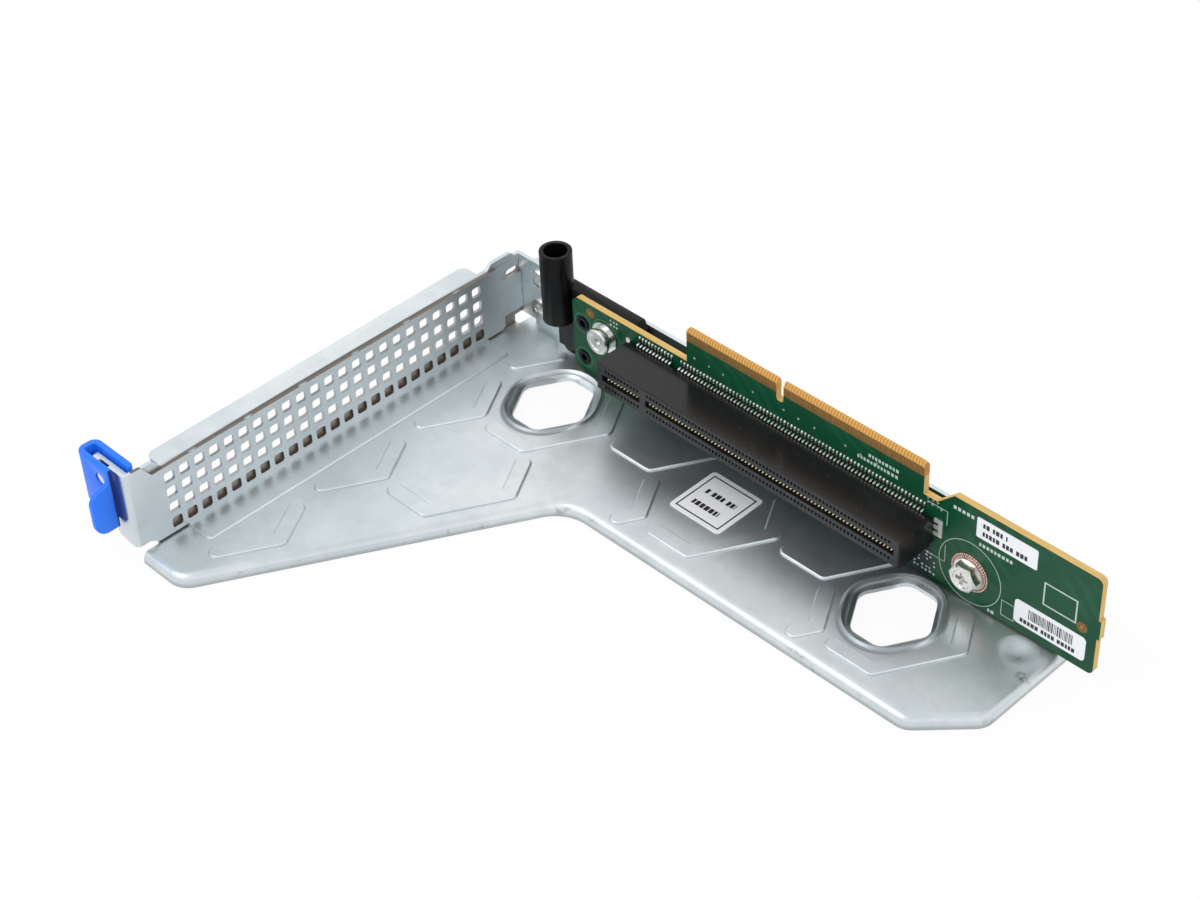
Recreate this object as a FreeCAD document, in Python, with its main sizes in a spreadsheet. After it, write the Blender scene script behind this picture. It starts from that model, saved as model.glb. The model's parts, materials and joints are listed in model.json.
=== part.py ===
import FreeCAD, Part
import math
import os
import re
import Sketcher

# Riser cage for one expansion card: a stamped steel tray with a perforated slot cover at one end,
# and a riser board with a card connector standing along its back wall.
# Frame: origin under the middle of the whole cage, X along the riser board, +Y to the back wall,
# +Z up. Sizes are millimetres.

doc = FreeCAD.newDocument("riser_cage")
sheet = doc.addObject("Spreadsheet::Sheet", "sizes")

# Each row: alias, number or formula, what it is.
SIZES = [
    # Stamped tray
    ("sheet_gauge", "1.0", "thickness of the zinc-coated sheet"),
    ("end_wall_x", "-80.6", "outer face of the end wall"),
    ("back_wall_y", "61.8", "outer face of the back wall"),
    ("tray_length", "166.25", "end wall to the right rim"),
    ("tray_depth", "116.95", "back wall to the front rim"),
    ("rim_height", "3.0", "floor's top above the rim's lower edge"),
    ("rim_roll", "2.0", "outer radius of the rolled rim"),
    ("front_run", "14.5", "straight front rim, from the end wall to the slanted rim"),
    ("slant_angle", "60", "slanted rim from the long rim, degrees"),
    ("long_rim_setback", "74.85", "long rim behind the front rim"),
    ("corner_chamfer", "11.8", "cut-off corner at the right"),
    ("slant_round", "6", "round between front and slanted rims"),
    ("inner_round", "10", "round between slanted and long rims"),
    ("chamfer_round", "5", "rounds at the cut-off corner"),
    ("bend_round", "1.6", "outside of a sharp bend"),
    ("back_wall_height", "18.9", "back wall above the floor"),
    ("back_wall_start", "4.8", "back wall's left end from the end wall"),
    ("back_wall_stop", "0.65", "back wall's right end before the right rim"),
    ("relief_width", "5.6", "front bend relief along Y"),
    ("relief_depth", "1.7", "front bend relief from the end wall's outer face"),
    ("back_relief_depth", "2.4", "rear bend relief from the end wall's outer face"),
    ("relief_round", "0.8", "reliefs' inner corners"),
    ("floor_top", "=rim_height", "top of the floor"),
    ("tray_right", "=end_wall_x + tray_length", "outer face of the right rim"),
    ("tray_front", "=back_wall_y - tray_depth", "outer face of the front rim"),
    ("long_rim_y", "=tray_front + long_rim_setback", "outer face of the long rim"),
    ("front_end_x", "=end_wall_x + front_run", "where front and slanted rims meet"),
    ("slant_end_x", "=front_end_x + long_rim_setback / tan(slant_angle)", "slanted rim's far end"),
    ("wall_inner_x", "=end_wall_x + sheet_gauge", "inner face of the end wall"),
    ("back_inner_y", "=back_wall_y - sheet_gauge", "inner face of the back wall"),
    ("wing_front_y", "=back_inner_y - sheet_gauge", "front face of the riveted wing"),
    # Window frame, flange, wing and ear
    ("foot_start", "4.7", "end wall's foot from its front end"),
    ("foot_stop", "3.3", "end wall's foot before the back wall"),
    ("window_left", "7.2", "window from the end wall's front end"),
    ("window_width", "95.1", "window along Y"),
    ("window_sill", "5.0", "window's lower edge above the floor"),
    ("window_height", "12.6", "window up to its upper rail"),
    ("wall_height", "19.0", "end wall's flange above the floor"),
    ("flange_reach", "4.7", "flange out of the end wall"),
    ("flange_start", "8.8", "flange from the end wall's front end"),
    ("flange_length", "93.5", "flange along Y"),
    ("window_round", "1.0", "window's corners"),
    ("flange_round", "2.0", "flange's outer corners"),
    ("corner_round", "1.5", "corners of the wing, the ear and the back wall"),
    ("inner_bend_round", "0.9", "outside of the tight bends between floor and walls"),
    ("left_hump", "2.2", "front shoulder above the flange"),
    ("right_hump", "1.3", "rear shoulder above the flange"),
    ("hump_back", "2.1", "rear shoulder's end before the back wall"),
    ("hump_length", "8.8", "rear shoulder along Y"),
    ("wing_reach", "12.2", "riveted wing from the end wall's outer face"),
    ("wing_clear", "2.0", "wing's lower edge above the floor"),
    ("ear_reach", "11.7", "ear out of the end wall"),
    ("ear_height", "10.7", "ear's height"),
    ("ear_front_y", "=cover_tab_back + ear_gap", "front face of the ear"),
    ("ear_gap", "0.5", "joggle between the cover's tab and the ear"),
    ("wall_slot_width", "4.2", "obround slot beside the wing"),
    ("wall_slot_height", "2.0", "obround slot's height"),
    ("wall_slot_level", "15.0", "obround slot above the floor"),
    ("wall_slot_clear", "0.2", "obround slot before the wing"),
    # Stiffening ribs and flared holes
    ("rib_rise", "0.5", "ribs above the floor"),
    ("rib_width", "4.1", "rib across"),
    ("rib_edge", "0.4", "slope at a rib's edge"),
    ("rib_pitch", "29.9", "honeycomb pitch of the ribs"),
    ("rib_first_x", "20.5", "first rib vertex from the end wall"),
    ("rib_first_y", "23.2", "first rib vertex behind the front rim"),
    ("rib_upper_arm", "10.6", "arm towards the back wall"),
    ("rib_lower_arm", "13.6", "arm towards the front, plain ribs"),
    ("rib_long_arm", "19.0", "arm towards the front, hooked ribs"),
    ("rib_hook", "10.1", "end bar of a hooked rib"),
    ("strip_width", "8.7", "raised strip along the end wall"),
    ("strip_start", "12.2", "raised strip from the end wall's front end"),
    ("strip_length", "90.6", "raised strip along Y"),
    ("strip_round", "1.5", "raised strip's outer corners"),
    ("hole_back", "19.6", "flared holes' centres before the back wall's outer face"),
    ("hole_first", "30.0", "first flared hole from the end wall"),
    ("hole_spacing", "103.1", "between the flared holes"),
    ("hole_half_width", "9.15", "flared opening's half width along X"),
    ("hole_half_height", "9.8", "flared opening's half height along Y"),
    ("hole_corner", "3.3", "opening's corner radius"),
    ("lip_half_width", "10.9", "lip crest's half width along X"),
    ("lip_half_height", "11.95", "lip crest's half height along Y"),
    ("lip_round", "9.0", "lip crest's corner radius"),
    ("lip_rise", "0.7", "lip crest above the floor"),
    ("lip_base", "0.9", "lip's foot outside its crest"),
    ("funnel_depth", "0.5", "opening's edge below the floor"),
    ("dimple_radius", "4.6", "round dimple near the right rim"),
    ("dimple_depth", "0.9", "dimple below the floor"),
    ("dimple_from_right", "7.55", "dimple's centre from the right rim"),
    ("dimple_from_back", "11.1", "dimple's centre before the back wall"),
    # Slot cover
    ("cover_gauge", "0.8", "slot cover's sheet"),
    ("cover_height", "18.3", "cover's width between its long edges"),
    ("cover_tab_front", "-56.2", "front face of the bent tab"),
    ("cover_length", "109.8", "tab's front face to the shoulder before the tongue"),
    ("tongue_length", "9.2", "tongue past the shoulder"),
    ("tongue_width", "10.3", "tongue across"),
    ("tongue_level", "3.5", "tongue above the cover's lower edge"),
    ("tab_width", "20.3", "tab's height at its bend"),
    ("tab_reach", "11.8", "tab outwards from the cover's inner face"),
    ("tab_foot_reach", "6.3", "tab's narrower foot"),
    ("cover_step", "1.4", "tab's foot above the cover's lower edge"),
    ("cover_bend", "1.4", "outside of the cover's bend"),
    ("cover_notch", "2.4", "cover's slanted edges beside the tab"),
    ("cover_neck", "3.6", "tab's foot along the blade"),
    ("cover_crown", "4.6", "tab's top along the blade"),
    ("cover_round", "1.0", "corners of the cover's outline"),
    ("shoulder_cut", "0.7", "lower shoulder's cut corner"),
    ("shoulder_slope", "1.7", "upper shoulder's slope along Y"),
    ("shoulder_drop", "3.4", "upper shoulder's slope along Z"),
    ("tongue_cut", "1.5", "tongue's cut corners"),
    ("tab_side", "9.0", "tab's full reach below its top"),
    ("tab_slope", "3.0", "tab's slanted lower side"),
    ("hole_side", "2.7", "square perforation"),
    ("hole_cut", "0.38", "perforation's cut corners"),
    ("column_pitch", "4.105", "perforations along the cover"),
    ("row_pitch", "4.235", "perforations across the cover"),
    ("column_count", "23", "perforations along the cover"),
    ("row_count", "4", "perforations across the cover"),
    ("notch_half", "1.7", "half the tab's screw notch"),
    ("first_column", "11.2", "first column from the tab's front face"),
    ("first_row", "2.5", "first row above the cover's lower edge"),
    ("cover_bottom", "=floor_top + rib_rise", "lower edge, on the raised strip"),
    ("cover_inner_x", "=wall_inner_x + cover_gauge", "cover's face towards the card"),
    ("cover_tab_back", "=cover_tab_front + cover_gauge", "back face of the tab"),
    ("cover_shoulder_y", "=cover_tab_front + cover_length", "shoulder before the tongue"),
    ("tongue_end_y", "=cover_shoulder_y + tongue_length", "tongue's end"),
    ("tab_top", "=cover_bottom + cover_step + tab_width", "top of the tab"),
    # Pull cap and its stud
    ("cap_width", "13.8", "cap along X"),
    ("cap_right_x", "=end_wall_x", "cap's end by the end wall"),
    ("cap_left_x", "=cap_right_x - cap_width", "cap's closed end"),
    ("cap_height", "13.3", "cap along Z"),
    ("cap_above_tab", "0.3", "cap above the tab"),
    ("cap_front_wall", "1.4", "cap's wall before the tab"),
    ("cap_back_wall", "1.5", "cap's wall behind the ear"),
    ("cap_side_wall", "1.5", "cap's closed end wall"),
    ("cap_back_play", "0.5", "play behind the ear"),
    ("cap_recess", "0.8", "step in the front wall's right end"),
    ("cap_recess_width", "2.1", "stepped part of the front wall"),
    ("cap_round", "2.2", "cap's closed corners"),
    ("cap_inner_round", "0.7", "corners inside the cap"),
    ("grip_reach", "5.2", "pull plate before the cap"),
    ("grip_height", "12.3", "pull plate along Z"),
    ("grip_thickness", "1.3", "pull plate's thickness"),
    ("grip_drop", "3.4", "pull plate's root below the cap's top"),
    ("grip_slope", "1.6", "pull plate's shoulder falls this much outwards"),
    ("grip_round", "3.2", "pull plate's outer corners"),
    ("stud_sunk", "0.3", "stud's tip behind the cap's front face"),
    ("stud_radius", "1.3", "stud on the ear"),
    ("stud_play", "0.15", "play of the stud in the cap"),
    ("stud_from_wall", "5.5", "stud's axis from the end wall"),
    ("stud_below_top", "3.5", "stud's axis below the tab's top"),
    ("stud_head", "1.9", "radius of the stud's riveted head"),
    ("stud_head_height", "0.3", "height of the riveted head"),
    ("ear_back_y", "=ear_front_y + sheet_gauge", "back face of the ear"),
    ("foot_start_y", "=ear_front_y + foot_start", "end wall's foot, front end"),
    ("foot_stop_y", "=back_inner_y - foot_stop", "end wall's foot, back end"),
    ("cap_front_y", "=cover_tab_front - cap_front_wall", "cap's front face"),
    ("cap_back_y", "=ear_back_y + cap_back_play + cap_back_wall", "cap's back face"),
    ("cap_top", "=tab_top + cap_above_tab", "cap's upper edge"),
    ("stud_x", "=end_wall_x - stud_from_wall", "stud's axis"),
    ("stud_z", "=tab_top - stud_below_top", "stud's axis"),
    # Riser board
    ("board_thickness", "1.6", "riser board"),
    ("board_front_y", "55.0", "board's component side"),
    ("board_left_x", "-56.1", "board's left edge"),
    ("board_length", "149.9", "board along X"),
    ("board_clear", "0.5", "board above the floor"),
    ("board_low_height", "20.7", "left section"),
    ("board_high_height", "26.1", "right section"),
    ("tab_height", "30.0", "finger tab above the board's lower edge"),
    ("tab_left", "36.7", "finger tab from the board's left edge"),
    ("tab_length", "67.9", "finger tab along X"),
    ("dip_width", "3.7", "step to the right of the finger tab"),
    ("dip_height", "22.0", "the step above the board's lower edge"),
    ("dip_slope", "4.3", "sloped rise after the step"),
    ("notch_from_left", "27.8", "key notch from the tab's left edge"),
    ("notch_width", "2.0", "key notch"),
    ("notch_depth", "5.5", "key notch"),
    ("notch_round", "0.8", "rounds at the notch's bottom"),
    ("tab_bevel", "0.5", "bevel of the finger tab's edge"),
    ("tab_bevel_height", "1.1", "bevel's height"),
    ("tab_round", "0.9", "finger tab's upper corners"),
    ("board_left_round", "2.5", "lower left corner"),
    ("board_left_cut", "1.5", "upper left corner"),
    ("board_right_round", "1.4", "right corners"),
    ("nib_height", "5.1", "break-off nib at the right edge"),
    ("nib_level", "10.2", "nib above the lower edge"),
    ("nib_reach", "0.6", "nib out of the edge"),
    ("board_bottom", "=floor_top + board_clear", "board's lower edge"),
    ("board_back_y", "=board_front_y + board_thickness", "board's solder side"),
    ("board_right_x", "=board_left_x + board_length", "board's right edge"),
    ("tab_left_x", "=board_left_x + tab_left", "finger tab's left edge"),
    ("tab_right_x", "=tab_left_x + tab_length", "finger tab's right edge"),
    ("tab_top_z", "=board_bottom + tab_height", "finger tab's edge"),
    ("notch_x", "=tab_left_x + notch_from_left", "middle of the key notch"),
    ("board_right_top", "=board_bottom + board_high_height", "top of the right section"),
    # Edge fingers
    ("finger_pitch", "0.8", "fingers along the tab"),
    ("finger_width", "0.5", "one finger"),
    ("finger_height", "2.2", "one finger"),
    ("finger_relief", "0.05", "finger off the board's face"),
    ("finger_below_edge", "1.1", "finger's end below the tab's edge"),
    ("fingers_left", "33", "fingers left of the notch"),
    ("fingers_right", "48", "fingers right of the notch"),
    ("finger_first_left", "0.7", "first finger from the tab's left edge"),
    ("finger_first_right", "1.4", "first finger from the notch's middle"),
    # Card connector
    ("contact_pitch", "1.0", "contacts along the slot"),
    ("contacts_left", "11", "contacts left of the key"),
    ("contacts_right", "71", "contacts right of the key"),
    ("key_span", "3.0", "from the last left contact to the first right one"),
    ("contact_first", "22.1", "first contact from the board's left edge"),
    ("housing_left", "3.1", "housing's end before the first contact"),
    ("housing_right", "2.8", "housing's end after the last contact"),
    ("housing_level", "10.1", "housing above the board's lower edge"),
    ("housing_height", "7.5", "housing along Z"),
    ("housing_depth", "11.25", "housing off the board's face"),
    ("housing_standoff", "1.3", "housing's feet, room for the leads"),
    ("slot_margin", "1.25", "slot past the outer contacts"),
    ("slot_height", "1.75", "slot's opening"),
    ("slot_level", "3.97", "slot's middle above the housing's lower side"),
    ("slot_depth", "8.4", "slot's depth"),
    ("key_wall", "1.75", "wall between the slot's two parts"),
    ("chamber_height", "0.9", "contact chamber beside the slot"),
    ("chamber_lip", "0.9", "front lip before the contact chambers"),
    ("window_side", "0.55", "small front windows along X"),
    ("window_rise", "0.75", "small front windows along Z"),
    ("window_deep", "0.7", "small front windows' depth"),
    ("window_offset", "2.2", "windows from the slot's middle"),
    ("contact_width", "0.42", "contact strip along X"),
    ("contact_gauge", "0.25", "contact strip's thickness"),
    ("contact_row", "1.2", "contact strip from the slot's middle"),
    ("contact_tip_depth", "0.75", "contact's crest behind the front face"),
    ("contact_tip_rise", "0.62", "contact's crest into the slot"),
    ("contact_spring", "2.4", "contact's sloped spring along Y"),
    ("lead_knee", "0.35", "lead's knee above the housing"),
    ("lead_slope", "0.3", "lead's rise from the knee to the board"),
    ("lead_reach", "2.3", "lead's toe above the housing"),
    ("post_width", "1.6", "housing's end feet along X"),
    ("post_inset", "0.6", "housing's end feet inside its height"),
    ("front_chamfer", "0.3", "chamfer round the housing's front"),
    ("contact_x", "=board_left_x + contact_first", "first contact"),
    ("contact_last_x", "=contact_x + (contacts_left + contacts_right - 2) * contact_pitch + key_span",
     "last contact"),
    ("housing_left_x", "=contact_x - housing_left", "housing's left end"),
    ("housing_right_x", "=contact_last_x + housing_right", "housing's right end"),
    ("housing_front_y", "=board_front_y - housing_depth", "housing's front face"),
    ("housing_back_y", "=board_front_y - housing_standoff", "housing's back face"),
    ("housing_bottom", "=board_bottom + housing_level", "housing's lower side"),
    ("housing_top", "=housing_bottom + housing_height", "housing's upper side"),
    ("slot_z", "=housing_bottom + slot_level", "slot's middle"),
    ("key_x", "=contact_x + (contacts_left - 1) * contact_pitch + key_span / 2", "key wall's middle"),
    ("holddown_reach", "2.2", "hold-down tab past the housing's right end"),
    ("holddown_height", "4.5", "right hold-down tab"),
    ("holddown_level", "2.8", "right hold-down tab above the housing's lower side"),
    ("holddown_slit", "0.8", "slits between the hold-down's three prongs"),
    ("holddown_slit_depth", "1.2", "slits' depth"),
    ("holddown_gauge", "0.3", "hold-down's sheet"),
    ("small_holddown", "1.2", "left hold-down tab"),
    # Black carrier with its guide tube
    ("tube_outer", "3.9", "guide tube's outer radius"),
    ("tube_bore", "2.85", "guide tube's bore radius"),
    ("tube_height", "19.2", "guide tube's length"),
    ("tube_from_board", "5.8", "tube's axis before the board's left edge"),
    ("tube_level", "10.7", "tube's lower end above the board's lower edge"),
    ("tube_floor", "1.2", "tube's closed lower end"),
    ("web_width", "2.4", "web below the tube"),
    ("arm_drop", "0.1", "plate's upper edge below the board's"),
    ("tube_bottom", "=board_bottom + tube_level", "tube's lower end"),
    ("arm_thickness", "3.2", "carrier's plate behind the board"),
    ("arm_length", "21.3", "plate past the board's left edge"),
    ("arm_slope", "2.4", "slanted end of the plate"),
    ("arm_height", "6.6", "plate's bar"),
    ("leg_width", "5.3", "leg past the board's left edge"),
    ("leg_clear", "1.2", "leg above the board's lower edge"),
    ("leg_left", "5.3", "leg before the board's left edge"),
    ("carrier_pin_radius", "1.8", "pins through the board"),
    ("carrier_pin_x", "3.3", "pins from the board's left edge"),
    ("upper_pin_level", "14.1", "upper pin above the board's lower edge"),
    ("lower_pin_level", "4.2", "lower pin above the board's lower edge"),
    ("pin_fit", "0.1", "board's hole round a pin"),
    ("pin_proud", "0.2", "pins past the board's face"),
    ("pin_bore", "0.9", "hollow of a pin"),
    ("pin_bore_depth", "1.2", "hollow's depth"),
    ("tube_x", "=board_left_x - tube_from_board", "tube's axis"),
    ("arm_back_y", "=board_back_y + arm_thickness", "plate's back face"),
    ("tube_y", "=arm_back_y - tube_outer", "tube's axis"),
    ("arm_top", "=board_bottom + board_low_height - arm_drop", "plate's upper edge"),
    # Stud, screw, pad and standoff
    ("bolt_x", "10.7", "shoulder stud from the board's left edge"),
    ("bolt_level", "14.0", "shoulder stud above the board's lower edge"),
    ("bolt_flange_radius", "3.9", "shoulder stud's flange"),
    ("bolt_flange", "0.5", "flange's thickness"),
    ("bolt_neck_radius", "2.9", "stud's drum"),
    ("bolt_neck", "1.6", "drum's length"),
    ("bolt_head_radius", "3.3", "stud's head"),
    ("bolt_head", "1.0", "head's thickness"),
    ("bolt_edge", "0.3", "head's chamfer"),
    ("bolt_dish_radius", "2.3", "dished middle of the head"),
    ("bolt_dish", "0.25", "dish's depth"),
    ("bolt_socket_radius", "0.9", "socket in the head"),
    ("bolt_socket", "0.9", "socket's depth"),
    ("bolt_shank_radius", "1.5", "stud's shank in the board and carrier"),
    ("screw_x", "24.0", "screw left of the tray's right rim"),
    ("screw_level", "8.0", "screw above the board's lower edge"),
    ("screw_flange_radius", "3.75", "screw's flange"),
    ("screw_flange", "0.6", "flange's thickness"),
    ("screw_hex", "6.3", "hexagon across its flats"),
    ("screw_head", "2.2", "hexagon's height"),
    ("screw_crown_radius", "2.9", "round face on top of the hexagon"),
    ("screw_crown_drop", "0.45", "turned slope from that face to the corners"),
    ("screw_dish_radius", "2.3", "dished middle of the face"),
    ("screw_dish", "0.2", "dish's depth"),
    ("cross_reach", "1.6", "cross recess from its middle"),
    ("cross_half", "0.45", "half the width of a cross arm"),
    ("cross_depth", "1.3", "cross recess"),
    ("screw_shank_radius", "1.5", "screw's shank"),
    ("screw_tip", "1.2", "shank past the back wall"),
    ("pad_radius", "4.8", "copper pad under the screw"),
    ("pad_gauge", "0.1", "copper pad's thickness"),
    ("standoff_radius", "3.0", "standoff on the back wall"),
    ("rivet_radius", "3.0", "rivet's head"),
    ("rivet_head", "0.7", "rivet head's height"),
    ("rivet_edge", "0.4", "chamfer of the rivet's head"),
    ("rivet_dome", "1.5", "rivet's raised middle"),
    ("rivet_dome_height", "0.5", "raised middle above the head"),
    ("rivet_tail", "0.6", "rivet's tail behind the back wall"),
    ("rivet_shank_radius", "1.6", "rivet's shank"),
    ("rivet_x", "4.2", "rivets before the wing's free edge"),
    ("upper_rivet", "14.4", "upper rivet above the floor"),
    ("lower_rivet", "6.1", "lower rivet above the floor"),
    ("rivet_axis_x", "=end_wall_x + wing_reach - rivet_x", "rivets' axes"),
    ("screw_axis_x", "=tray_right - screw_x", "screw's axis"),
    ("screw_axis_z", "=board_bottom + screw_level", "screw's axis"),
    # Labels
    ("label_gauge", "0.1", "labels' thickness"),
    ("label_round", "1.0", "round corners of the square and lower labels"),
    ("small_label_round", "0.4", "corners of the upper board label"),
    ("tray_label_side", "15.0", "square label on the floor"),
    ("tray_label_x", "74.6", "square label from the end wall"),
    ("tray_label_y", "27.2", "square label before the back wall"),
    ("upper_label_width", "15.5", "upper board label"),
    ("upper_label_height", "5.3", "upper board label"),
    ("upper_label_x", "15.7", "upper board label from the board's right edge"),
    ("upper_label_drop", "1.8", "upper board label below the board's edge"),
    ("lower_label_width", "17.9", "lower board label"),
    ("lower_label_height", "6.4", "lower board label"),
    ("lower_label_x", "2.3", "lower board label from the board's right edge"),
    ("lower_label_level", "2.3", "lower board label above the board's lower edge"),
]


def fill_sheet():
    """Write every size, with its alias, in one row of the sheet."""
    for row, (alias, content, note) in enumerate(SIZES, start=2):
        sheet.set("A%d" % row, note)
        sheet.set("B%d" % row, content)
        sheet.setAlias("B%d" % row, alias)
    doc.recompute()


fill_sheet()


scratch = doc.addObject("Spreadsheet::Sheet", "scratch")


def bound(text):
    """A formula in the sheet's names, as an object outside the sheet must write it."""
    return re.sub(r"\b([a-z]\w*)\b(?!\()", r"sizes.\1", text)


def value(text):
    """The number that such a formula comes to."""
    scratch.set("A1", "=" + bound(text))
    scratch.recompute()
    return float(scratch.get("A1"))


def new_body(label):
    """A body for one piece."""
    made = doc.addObject("PartDesign::Body", label + "_body")
    made.Label = label
    return made


def new_sketch(body, name, plane, level):
    """A sketch on the body's own origin plane, moved along the plane's normal to a level."""
    made = body.newObject("Sketcher::SketchObject", name)
    for datum in body.Origin.OriginFeatures:
        if datum.Role == plane + "_Plane":
            made.AttachmentSupport = [(datum, "")]
    made.MapMode = "FlatFace"
    made.setExpression("AttachmentOffset.Base.z", bound(level))
    return made


def constrain(sketch, kind, where, text):
    """A dimension tied to the sheet, with its present value to start from."""
    index = sketch.addConstraint(Sketcher.Constraint(kind, *where, value(text)))
    sketch.setExpression("Constraints[%d]" % index, bound(text))


def fix_point(sketch, geometry, end, across, up):
    """Tie one point of the sketch to its place."""
    constrain(sketch, "DistanceX", (-1, 1, geometry, end), across)
    constrain(sketch, "DistanceY", (-1, 1, geometry, end), up)


def outline(sketch, corners):
    """Closed line through corners (across, up) or (across, up, radius of the rounded corner)."""
    points = [FreeCAD.Vector(value(corner[0]), value(corner[1]), 0) for corner in corners]
    rounds = [value(corner[2]) if len(corner) > 2 else 0.0 for corner in corners]
    count = len(corners)
    enter = []
    leave = []
    arcs = []
    for index, point in enumerate(points):
        before = (points[index - 1] - point).normalize()
        after = (points[(index + 1) % count] - point).normalize()
        if rounds[index] == 0:
            enter.append(point)
            leave.append(point)
            arcs.append(None)
            continue
        half = before.getAngle(after) / 2
        reach = rounds[index] / math.tan(half)
        centre = point + (before + after).normalize() * (rounds[index] / math.sin(half))
        enter.append(point + before * reach)
        leave.append(point + after * reach)
        left_turn = before.cross(after).z < 0
        first, last = (enter[-1], leave[-1]) if left_turn else (leave[-1], enter[-1])
        start = math.atan2(first.y - centre.y, first.x - centre.x)
        sweep = math.pi - 2 * half
        ring = Part.Circle(centre, FreeCAD.Vector(0, 0, 1), rounds[index])
        arcs.append((Part.ArcOfCircle(ring, start, start + sweep), 1 if left_turn else 2))
    lines = []
    for index in range(count):
        line = Part.LineSegment(leave[index], enter[(index + 1) % count])
        lines.append(sketch.addGeometry(line, False))
    for index, corner in enumerate(corners):
        into = lines[index - 1]
        out = lines[index]
        if arcs[index] is None:
            sketch.addConstraint(Sketcher.Constraint("Coincident", into, 2, out, 1))
            fix_point(sketch, out, 1, corner[0], corner[1])
            continue
        arc = sketch.addGeometry(arcs[index][0], False)
        near = arcs[index][1]
        far = 3 - near
        spot = sketch.addGeometry(Part.Point(points[index]), True)
        sketch.addConstraint(Sketcher.Constraint("Tangent", into, 2, arc, near))
        sketch.addConstraint(Sketcher.Constraint("Tangent", out, 1, arc, far))
        sketch.addConstraint(Sketcher.Constraint("PointOnObject", spot, 1, into))
        sketch.addConstraint(Sketcher.Constraint("PointOnObject", spot, 1, out))
        fix_point(sketch, spot, 1, corner[0], corner[1])
        constrain(sketch, "Radius", (arc,), corner[2])


def circle(sketch, across, up, radius):
    """A circle tied to its place and radius."""
    centre = FreeCAD.Vector(value(across), value(up), 0)
    index = sketch.addGeometry(Part.Circle(centre, FreeCAD.Vector(0, 0, 1), value(radius)), False)
    fix_point(sketch, index, 3, across, up)
    constrain(sketch, "Radius", (index,), radius)


def rectangle(left, bottom, right, top, radius=None):
    """Corners of an upright rectangle."""
    extra = () if radius is None else (radius,)
    return [(left, bottom) + extra, (right, bottom) + extra,
            (right, top) + extra, (left, top) + extra]


def level_of(plane, low, high):
    """Where a sketch lies so that its pad, along the plane's normal, fills low to high."""
    if plane == "XZ":
        return "-(%s)" % high
    return low


def pad(body, name, plane, low, high, draw):
    """Material between two levels, inside the lines that draw makes."""
    sketch = new_sketch(body, name + "_sketch", plane, level_of(plane, low, high))
    draw(sketch)
    made = body.newObject("PartDesign::Pad", name)
    made.Profile = sketch
    body.Tip = made
    made.setExpression("Length", bound("(%s) - (%s)" % (high, low)))
    doc.recompute()
    return made


def pocket(body, name, plane, low, high, draw):
    """A cut between two levels, inside the lines that draw makes."""
    sketch = new_sketch(body, name + "_sketch", plane, level_of(plane, low, high))
    draw(sketch)
    before = body.Shape.Volume
    made = body.newObject("PartDesign::Pocket", name)
    made.Profile = sketch
    body.Tip = made
    made.Reversed = True
    made.setExpression("Length", bound("(%s) - (%s)" % (high, low)))
    doc.recompute()
    if body.Shape.Volume > before - 1e-6:
        raise ValueError(name + " cuts nothing")
    return made


def revolve(body, name, corners):
    """A turned piece: corners (radius, distance along the axis), spun about the sketch's upright."""
    sketch = new_sketch(body, name + "_sketch", "XZ", "0")
    outline(sketch, corners)
    made = body.newObject("PartDesign::Revolution", name)
    made.Profile = sketch
    body.Tip = made
    made.ReferenceAxis = (sketch, ["V_Axis"])
    made.Angle = 360
    doc.recompute()
    return made


def groove(body, name, draw):
    """A turned cut about the sketch's upright, inside the lines that draw makes."""
    sketch = new_sketch(body, name + "_sketch", "XZ", "0")
    draw(sketch)
    before = body.Shape.Volume
    made = body.newObject("PartDesign::Groove", name)
    made.Profile = sketch
    body.Tip = made
    made.ReferenceAxis = (sketch, ["V_Axis"])
    made.Angle = 360
    doc.recompute()
    if body.Shape.Volume > before - 1e-6:
        raise ValueError(name + " cuts nothing")
    return made


def edges_where(feature, test):
    """Names of the edges whose middle point passes a test."""
    names = []
    for index, edge in enumerate(feature.Shape.Edges, start=1):
        middle = edge.valueAt((edge.FirstParameter + edge.LastParameter) / 2)
        if test(edge, middle):
            names.append("Edge%d" % index)
    return names


def dress(body, kind, name, feature, names, size_text):
    """Rounded or chamfered edges."""
    made = body.newObject("PartDesign::" + kind, name)
    made.Base = (feature, names)
    body.Tip = made
    made.setExpression("Radius" if kind == "Fillet" else "Size", bound(size_text))
    doc.recompute()
    return made


def lies_at(number, text):
    """Whether a coordinate lies at a size."""
    return abs(number - value(text)) < 1e-4


def keep(label, shape):
    """A piece whose shape is worked out here."""
    made = doc.addObject("Part::Feature", label + "_solid")
    made.Shape = shape
    made.Label = label
    return made


def place(piece, x, y, z, turn=None):
    """Put a turned piece at its place; its axis is Z until it is turned."""
    piece.setExpression("Placement.Base.x", bound(x))
    piece.setExpression("Placement.Base.y", bound(y))
    piece.setExpression("Placement.Base.z", bound(z))
    if turn is not None:
        piece.Placement.Rotation = turn


BACKWARDS = FreeCAD.Rotation(FreeCAD.Vector(1, 0, 0), -90)


# Stamped tray

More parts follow.
